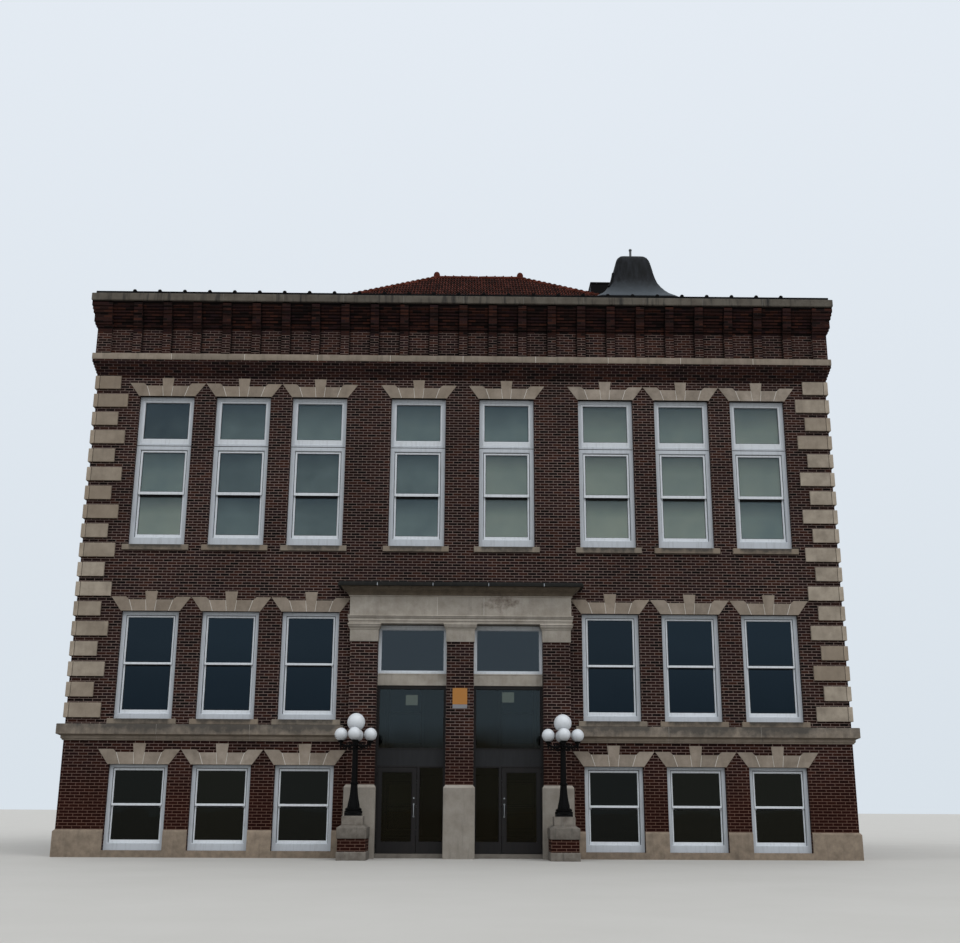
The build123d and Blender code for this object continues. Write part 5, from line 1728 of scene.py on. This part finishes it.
    def build(self) -> None:
        """Builds both storefronts, with a blank card, glowing as painted light, behind the glass of each."""
        for name, sign, body, foot in (("left", -1, Body.LEFT_LEAF, 3.425), ("right", 1, Body.RIGHT_LEAF, 3.5)):
            self.bay(name, sign, body)
            middle = sign * STOREFRONT_MIDDLE
            self.card.block((middle - 0.14, middle + 0.14), (0.166, 0.169), (foot, foot + 0.235))
        self.metal.piece("storefront_bars", BRONZE, "storefront_posts")
        self.rails.piece("storefront_heads", BRONZE, "storefront_rails")
        self.panel.piece("storefront_panels", HEAD_BRONZE, "storefront_rails")
        self.glass.piece("storefront_panes", ENTRY_GLASS, "entrance_glass")
        self.card.piece("blank_cards", CARD, "entrance_glass")


@dataclass
class LampStandards:
    """The two cast-iron lamp standards with five globes each, on stone and brick pedestals."""

    x: float = 2.33
    y: float = -8.48
    back: float = -HALF_DEPTH - 0.24
    foot: float = 0.93
    pedestal: float = 0.327
    block: float = 0.234
    side_globe: float = 0.145
    side_height: float = 2.69
    reach: float = 0.33
    top_globe: float = 0.2
    top_height: float = 2.96
    lower: Sequence[tuple[float, Sequence[Pair]]] = (  # the turnings over the foot, each with its flute
        (1.0, ((0.2, 0.06), (0.2, 0.1), (0.175, 0.118), (0.185, 0.13), (0.185, 0.15), (0.15, 0.175))),
        (0.9, ((0.14, 0.17), (0.132, 0.24), (0.108, 0.34), (0.09, 0.46), (0.078, 0.6), (0.074, 0.68))),
        (1.0, ((0.078, 0.67), (0.094, 0.685), (0.094, 0.705), (0.07, 0.725), (0.062, 0.74))),
    )
    cap: Sequence[Pair] = (
        (0.05, 2.35), (0.066, 2.36), (0.066, 2.376), (0.052, 2.385), (0.07, 2.43), (0.085, 2.445), (0.085, 2.46),
        (0.06, 2.475), (0.055, 2.54), (0.07, 2.56), (0.04, 2.585), (0.03, 2.7),
    )
    socket: Sequence[Pair] = ((0.03, 2.69), (0.04, 2.705), (0.075, 2.74), (0.082, 2.762), (0.078, 2.775))
    arm_path: Sequence[Triple] = (  # the place, height and radius of each point
        (0.05, 2.46, 0.03), (0.1, 2.436, 0.028), (0.16, 2.43, 0.026), (0.22, 2.438, 0.024),
        (0.275, 2.46, 0.023), (0.31, 2.485, 0.021), (0.33, 2.5, 0.018),
    )
    scrolls: Sequence[tuple[float, ...]] = (  # the middle, height, first angle, turn and width of each
        (0.155, 2.475, 200, -30, 1.15), (0.12, 2.385, 160, 30, 1.1), (0.235, 2.4, 200, -30, 0.9),
    )
    fitter: Sequence[Pair] = (  # under the foot of a globe
        (0.006, -0.17), (0.018, -0.158), (0.018, -0.148), (0.01, -0.138), (0.024, -0.118), (0.024, -0.1),
        (0.018, -0.085), (0.036, -0.07), (0.032, -0.052), (0.06, -0.03), (0.072, -0.012), (0.068, 0.004),
    )

    def pedestals(self) -> None:
        """The stepped pedestals that run out from the outer pier bases."""
        stone, brick = Shape(), Shape()
        for sign in SIGNS:
            x, y = sign * self.x, (self.y - self.pedestal, self.back)
            wide, narrow = (x - self.pedestal, x + self.pedestal), (x - self.block, x + self.block)
            stone.stack(wide, y, [(0.0, 0.0), (0.165, 0.0), (0.18, -0.015)], -0.1)
            brick.block((wide[0] + 0.02, wide[1] - 0.02), (y[0] + 0.02, y[1]), (0.18, 0.45))
            stone.stack(wide, y, [(0.45, -0.01), (0.46, 0.0), (0.683, 0.0), (0.69, -0.008), (0.74, -0.093)], -0.25)
            stone.block(narrow, (self.y - self.block, self.y + self.block), (0.738, self.foot), 0.35)
        stone.piece("pedestal_stones", PEDESTAL_STONE, "lamp_pedestals", bevel=0.006)
        brick.piece("pedestal_bricks", BRICK, "lamp_pedestals")

    def standard(self) -> Shape:
        """One standard about the Z axis: a square foot, a fluted shaft, a capital, four scrolled arms and fitters.

        Returns:
            The shape.
        """
        shape, base = Shape(), self.foot
        shape.turning([(0.262, base), (0.262, base + 0.05), (0.25, base + 0.062), (0.205, base + 0.066)], 4)
        for flute, profile in self.lower:
            shape.turning([(radius, base + z) for radius, z in profile], 32, flute=flute)
        shape.turning([(0.07, base + 0.73), (0.06, 2.36)], 24, flute=0.9)
        shape.turning(self.cap, 32)
        shape.turning(self.socket, 32)
        for turn in range(4):
            shape.place = at(turn=90 * turn)
            self.arm(shape)
        return shape

    def arm(self, shape: Shape) -> None:
        """An arm along X with its scrolls and globe fitter.

        Args:
            shape: The standard's shape.
        """
        shape.tube([(x, 0, z) for x, z, _ in self.arm_path], [radius for *_, radius in self.arm_path], 10)
        for middle, level, first, turn, width in self.scrolls:
            scroll = []
            for k in range(15):
                angle, size = math.radians(first + turn * k), 0.052 * (1 - k / 20)
                scroll.append((middle + size * math.cos(angle) * width, 0, level + size * math.sin(angle) * 0.75))
            shape.tube(scroll, [0.015], 6)
        top = self.side_height - self.side_globe * 0.93
        shape.turning([(radius, top + z) for radius, z in self.fitter], 24, (self.reach, 0.0))

    def globes(self) -> Shape:
        """The five globes of one standard.

        Returns:
            The shape.
        """
        shape = Shape()
        shape.ball(self.top_globe, (0, 0, self.top_height))
        for turn in range(4):
            angle = math.radians(90 * turn)
            centre = (self.reach * math.cos(angle), self.reach * math.sin(angle), self.side_height)
            shape.ball(self.side_globe, centre, 24, 14)
        return shape

    def build(self) -> None:
        """Sets a standard on each pedestal."""
        self.pedestals()
        places = [at(sign * self.x, self.y) for sign in SIGNS]
        REPEATER.set_out("lamp_standards", self.standard(), places, IRON, "lamp_posts")
        REPEATER.set_out("opal_globes", self.globes(), places, OPAL, "lamp_globes")


@dataclass
class TileRoof:
    """The hipped roof of clay pan tiles with its hip and ridge rolls and finials."""

    eaves: Pair = (-7.81, 8.71)
    eave_half: float = 6.9
    deck: float = 13.06
    rise: float = 4.806
    drop: float = 0.11
    first_row: float = 0.17
    tile_width: float = 0.186
    exposure: float = 0.335
    section: Sequence[Pair] = (
        (-0.099, 0.012), (-0.093, 0.026), (-0.08, 0.03), (-0.066, 0.016), (-0.05, 0.0), (-0.026, 0.0),
        (-0.012, 0.016), (0.0, 0.03), (0.014, 0.026), (0.028, 0.004), (0.07, 0.0), (0.087, 0.004),
    )
    lengths: Sequence[Triple] = ((0.0, 0.022, 0.018), (0.27, 0.0076, 0.0137), (0.375, 0.002, 0.012))
    roll_radius: float = 0.112
    roll_foot: float = 0.08
    ridge_exposure: float = 0.277
    hip_exposure: float = 0.24
    knob: Sequence[Pair] = (
        (0.11, -0.14), (0.104, 0.0), (0.1, 0.03), (0.09, 0.066), (0.072, 0.094), (0.045, 0.113), (0.012, 0.122),
    )

    def __post_init__(self) -> None:
        """Works out the middle and half length along the eaves, the slope's length and the ridge's height."""
        self.middle, self.half = sum(self.eaves) / 2, (self.eaves[1] - self.eaves[0]) / 2
        self.slope = math.hypot(self.eave_half, self.rise)
        self.ridge = self.deck + self.rise

    def tile(self) -> Shape:
        """One tile, laid along Y with its tail at the origin, with painted shade down in its pans and over its covered
        head.

        Returns:
            The shape.
        """
        shape, rings = Shape(), []
        for y, lift, thick in self.lengths:
            top = [(x, y, z + lift + thick) for x, z in self.section]
            rings.append(top + [(self.section[-1][0], y, lift), (self.section[0][0], y, lift)])
        # painted shade: the stain is 1 at the foot of the pans and over the whole head ring, where the next row covers
        # it
        stains = [1 - min(1.0, z / self.section[2][1]) for _, z in self.section] + [1.0, 1.0]
        shape.loft(rings, stains=stains * 2 + [1.0] * len(stains))
        return shape

    def tiles(self) -> None:
        """Lays the tiles slope by slope and cuts them at the hips."""
        one = self.tile().mesh("tile one")
        pitch = Matrix.Rotation(math.atan2(self.rise, self.eave_half), 4, "X")
        sink = self.drop * self.eave_half / self.slope
        for index, name in enumerate(("front", "right", "rear", "left")):
            reach, width = (self.half, self.eave_half) if index % 2 else (self.eave_half, self.half)
            turn = at(self.middle, turn=90 * index)
            matrix = turn @ at(0, -reach, self.deck) @ pitch @ at(z=-sink)
            places = []
            for row in range(int(self.slope / self.exposure) + 1):
                up = self.first_row + row * self.exposure
                shift = self.tile_width / 2 * (row % 2)
                count = int((width - up * self.eave_half / self.slope) / self.tile_width) + 1
                places += [matrix @ at(k * self.tile_width + shift, up) for k in range(-count, count + 1)]
            mesh = REPEATER.realize(f"{name}_tiles", one, places, TILE, 0.5, 31 + index)
            self.cut(mesh, turn, reach, width)
            settle(f"{name}_tiles", mesh, TILE, "hip_roof")

    def cut(self, mesh: bpy.types.Mesh, turn: Matrix, reach: float, width: float) -> None:
        """Cuts one slope's tiles at its two hips and at the ridge.

        Args:
            mesh: The tiles.
            turn: Turns the front slope onto this one.
            reach: How far the eave is from the roof's middle.
            width: Half the length of the eave.
        """
        facing = turn.to_3x3()
        planes = [(turn @ Vector((sign * width, -reach, 0)), Vector((sign, 1, 0)).normalized()) for sign in SIGNS]
        planes.append((turn.translation, Vector((0, 1, 0))))
        shell = bmesh.new()
        shell.from_mesh(mesh)
        for point, normal in planes:
            every = [*shell.verts, *shell.edges, *shell.faces]
            bmesh.ops.bisect_plane(shell, geom=every, plane_co=point, plane_no=facing @ normal, clear_outer=True)
            bmesh.ops.holes_fill(shell, edges=[edge for edge in shell.edges if edge.is_boundary], sides=0)
        shell.to_mesh(mesh)
        shell.free()

    def underlay(self) -> None:
        """The boarded slopes under the tiles."""
        shape = Shape()
        drop = self.drop + 0.008
        inset = drop / (self.rise / self.eave_half)
        left, right, half = self.eaves[0] + inset, self.eaves[1] - inset, self.eave_half - inset
        points = [(x, y, self.deck) for x, y in ((left, -half), (right, -half), (right, half), (left, half))]
        points += [(x, 0, self.ridge - drop) for x in (left + half, right - half)]
        shape.add(points, [(0, 1, 5, 4), (1, 2, 5), (2, 3, 4, 5), (3, 0, 4), (3, 2, 1, 0)], 0.0, ())
        shape.piece("roof_boarding", TILE, "hip_roof")

    def roll(self) -> Shape:
        """One half-round tile, laid along Y.

        Returns:
            The shape.
        """
        shape, rings = Shape(), []
        rim, foot = self.roll_radius, -self.roll_radius - self.roll_foot
        for y, radius in ((-0.02, rim), (0.022, rim), (0.026, rim - 0.018), (0.26, rim - 0.024)):
            arc = [math.pi * k / 8 for k in range(9)]
            outer = [(radius * math.cos(a), y, radius * math.sin(a) - rim) for a in arc]
            rings.append([(radius, y, foot), *outer, (-radius, y, foot)])
        shape.loft(rings)
        return shape

    def rolls(self) -> None:
        """Lays half-round tiles along the hips and the ridge, with a knob at each end of the ridge."""
        knobs = Shape()
        ends = (self.eaves[0] + self.eave_half, self.eaves[1] - self.eave_half)
        left, middle, right = (Vector((x, 0, self.ridge)) for x in (ends[0], sum(ends) / 2, ends[1]))
        lines = []
        for x, top in zip(self.eaves, (left, right)):
            lines += [(Vector((x, sign * self.eave_half, self.deck)), top, self.hip_exposure, 2) for sign in SIGNS]
        lines += [(end, middle, self.ridge_exposure, 0) for end in (left, right)]
        places = []
        for start, end, exposure, first in lines:
            ahead = (end - start).normalized()
            across = ahead.cross(UP).normalized()
            turn = Matrix((across, ahead, across.cross(ahead))).transposed().to_4x4()
            count = max(1, round((end - start).length / exposure))
            step = (end - start).length / count
            places += [Matrix.Translation(start + ahead * (step * k)) @ turn for k in range(first, count)]
        REPEATER.set_out("hip_rolls", self.roll(), places, TILE, "hip_roof", variation=0.4, seed=37)
        for x in ends:
            knobs.turning([(radius, self.ridge + z) for radius, z in self.knob], 24, (x, 0.0))
        knobs.piece("ridge_knobs", TILE, "ridge_finials")

    def build(self) -> None:
        """Builds the roof."""
        self.underlay()
        self.tiles()
        self.rolls()


@dataclass
class Rooftop:
    """The bell-shaped ventilator, its curb and the low hatch."""

    place: Triple = (4.716, -4.97, 14.5)
    curb_half: float = 0.95
    curb_foot: float = 13.1
    ease: float = 0.16  # how much of its half width a corner takes
    profile: Sequence[Pair] = (
        (1.15, 0.0), (1.15, 0.012), (1.09, 0.07), (1.02, 0.125), (0.93, 0.205), (0.835, 0.32), (0.74, 0.46),
        (0.655, 0.62), (0.595, 0.8), (0.555, 0.96), (0.525, 1.12), (0.487, 1.29), (0.458, 1.39), (0.413, 1.475),
        (0.348, 1.545), (0.275, 1.585), (0.2, 1.6),
    )
    hatch: tuple[Pair, Pair] = ((3.95, 4.85), (-1.6, -0.7))

    def half_at(self, height: float) -> float:
        """Half the bell's width at a height over its base."""
        low, high = next((a, b) for a, b in zip(self.profile, self.profile[1:]) if a[1] <= height <= b[1])
        return low[0] + (high[0] - low[0]) * (height - low[1]) / (high[1] - low[1])

    def bell(self) -> None:
        """The ogee bell on its square plan, the fin at its left flank and the rod on top."""
        shape, rod, fin = (Shape(at(*self.place)) for _ in range(3))
        rings = []
        for half, z in self.profile:
            keep, cut = half - self.ease * half, half - self.ease * half * 0.3
            corner, ring = [(-keep, -half), (keep, -half), (cut, -cut)], []
            for _ in range(4):
                ring += [(x, y, z) for x, y in corner]
                corner = [(-y, x) for x, y in corner]
            rings.append(ring)
        shape.loft(rings)
        shape.piece("bell_sheets", LEAD, "bell_vent")
        rod.turning([(0.06, 1.59), (0.05, 1.62), (0.032, 1.64), (0.032, 1.87), (0.045, 1.88)], 20)
        rod.ball(0.045, (0, 0, 1.895), 20, 12)
        rod.piece("bell_rod", GALVANISED, "bell_vent")
        places = [(z, self.half_at(z)) for z in (0.45 + 0.08 * k for k in range(7))]
        fin.tube([(-half + 0.08 * (0.75 - z), -0.95 * half, z) for z, half in places], [0.034])
        fin.piece("bell_fin", BLACK_SHEET, "bell_vent")

    def curb(self) -> None:
        """The sheet-clad curb under the bell and the hatch beside it."""
        shape, hatch = Shape(), Shape()
        x, y = ((middle - self.curb_half, middle + self.curb_half) for middle in self.place[:2])
        top = self.place[2]
        shape.stack(x, y, [(self.curb_foot, 0.0), (top, 0.0)])
        shape.stack(x, y, [(top - 0.06, 0.03), (top, 0.03)], behind=True)
        shape.piece("curb_sheets", LEAD, "vent_curb", bevel=0.006)
        hatch.block(*self.hatch, (15.64, 16.9))
        hatch.stack(*self.hatch, [(16.89, 0.0), (16.895, 0.02), (16.94, 0.02), (16.955, 0.0)], behind=True)
        hatch.piece("hatch_sheets", BLACK_SHEET, "roof_hatch", bevel=0.006)

    def build(self) -> None:
        """Builds what stands on the roof."""
        self.bell()
        self.curb()


@dataclass
class Interior:
    """The floors, which stay as built, and the globe lights of the lobby."""

    x: float = 1.0
    y: float = -6.12
    centre: float = 4.3
    ceiling: float = 6.15

    def build(self) -> None:
        """Finishes the floors and hangs the lights."""
        dress_nodes(BOARDS, "main_floor", "upper_floor")
        dress_nodes(CONCRETE, "ground_slab")
        dress_nodes(DARK_SHEET, "roof_deck")
        globes, rods = Shape(), Shape()
        low, top = self.centre, self.ceiling
        rod = [(0.05, low + 0.13), (0.04, low + 0.16), (0.008, low + 0.17), (0.008, top - 0.02), (0.06, top - 0.018)]
        for sign in SIGNS:
            globes.ball(0.15, (sign * self.x, self.y, self.centre))
            rods.turning([*rod, (0.06, top)], 16, (sign * self.x, self.y))
        globes.piece("pendant_globes", LOBBY_OPAL, "lobby_lights")
        rods.piece("pendant_rods", BRONZE, "lobby_lights")


@dataclass
class Studio:
    """The pale floor, the soft light and the camera at the photograph's viewing angle."""

    eye: Triple = (0.1065, -36.0486, 1.1515)
    lens: float = 44.92
    pitch: float = 15.6016
    yaw: float = -0.6783
    roll: float = 0.2873
    size: float = 220.0
    sun: Triple = (-0.35, 0.55, -0.75)

    def put(self, name: str, data: bpy.types.ID) -> bpy.types.Object:
        """Puts a thing into the scene.

        Args:
            name: The object's name.
            data: What it shows.

        Returns:
            The object.
        """
        made = bpy.data.objects.new(name, data)
        bpy.context.scene.collection.objects.link(made)
        return made

    def camera(self) -> None:
        """Sets the camera up."""
        pitch, yaw, roll = (math.radians(angle) for angle in (self.pitch, self.yaw, self.roll))
        ahead = Vector((-math.sin(yaw) * math.cos(pitch), math.cos(yaw) * math.cos(pitch), math.sin(pitch)))
        level = Vector((math.cos(yaw), math.sin(yaw), 0))
        upright = level.cross(ahead)
        right = math.cos(roll) * level + math.sin(roll) * upright
        up = -math.sin(roll) * level + math.cos(roll) * upright
        data = bpy.data.cameras.new("camera")
        data.lens, data.sensor_width, data.clip_end = self.lens, 36.0, 500.0
        camera = self.put("camera", data)
        camera.matrix_world = Matrix.Translation(self.eye) @ Matrix((right, up, -ahead)).transposed().to_4x4()
        bpy.context.scene.camera = camera

    def in_view(self, mix: Palette) -> Socket:
        """1 for rays from the camera, also by a mirror or through glass.

        Args:
            mix: The palette.

        Returns:
            1 or 0.
        """
        rays = mix.add("LightPath").node.outputs
        seen = mix.add("Math MAXIMUM", rays["Is Camera Ray"], rays["Is Glossy Ray"])
        return mix.add("Math MAXIMUM", seen, rays["Is Transmission Ray"])

    def floor(self) -> None:
        """A plain pale floor that keeps the building's shadow and throws little light back."""
        mesh = bpy.data.meshes.new("floor")
        corners = ((-1, -1), (1, -1), (1, 1), (-1, 1))
        mesh.from_pydata([(x * self.size, y * self.size, 0) for x, y in corners], [], [(0, 1, 2, 3)])
        material = bpy.data.materials.new("pale floor")
        material.use_nodes = True
        mix = Palette(material.node_tree)
        color = mix.coat("b9b6b0", (mix.mottle(2.0), "c4c1bc"))
        mix.add("OutputMaterial", mix.surface(mix.coat("6c6862", (self.in_view(mix), color)), 0.9))
        mesh.materials.append(material)
        self.put("floor", mesh)

    def light(self) -> None:
        """An overcast sky, brighter overhead, and a soft sun."""
        world = bpy.data.worlds.new("overcast")
        world.use_nodes = True
        mix = Palette(world.node_tree)
        height = mix.place("Generated")[2]
        sky = mix.add("Background", "f6fafe", mix.add("MapRange", height, -0.1, 0.9, 0.75, 1.15))
        tint = mix.coat("d9e2ea", (mix.add("MapRange", height, 0.0, 0.6, 0.0, 1.0), "e4ebf3"))
        backdrop = mix.add("Background", tint, 1.0)
        mix.add("OutputWorld", mix.add("MixShader", self.in_view(mix), sky, backdrop))
        bpy.context.scene.world = world
        sun = bpy.data.lights.new("soft sun", "SUN")
        sun.energy, sun.angle = 0.55, math.radians(40)
        lamp = self.put("soft sun", sun)
        lamp.matrix_world = Vector(self.sun).to_track_quat("-Z", "Y").to_matrix().to_4x4()

    def build(self) -> None:
        """Sets up the studio."""
        self.camera()
        self.floor()
        self.light()
        bpy.context.scene.view_settings.view_transform = "Standard"


def main() -> None:
    """Builds the town hall in order."""
    logging.basicConfig(level=logging.INFO, format="%(message)s")
    walls = (BrickShell(), StoneBands(), CutStones(), GROUND_WINDOW, MAIN_WINDOW, UPPER_WINDOW, Shades())
    for part in (Studio(), *walls, Entrance(), Storefront(), LampStandards(), TileRoof(), Rooftop(), Interior()):
        LOG.info("building %s", type(part).__name__)
        part.build()


if __name__ == "__main__":
    main()
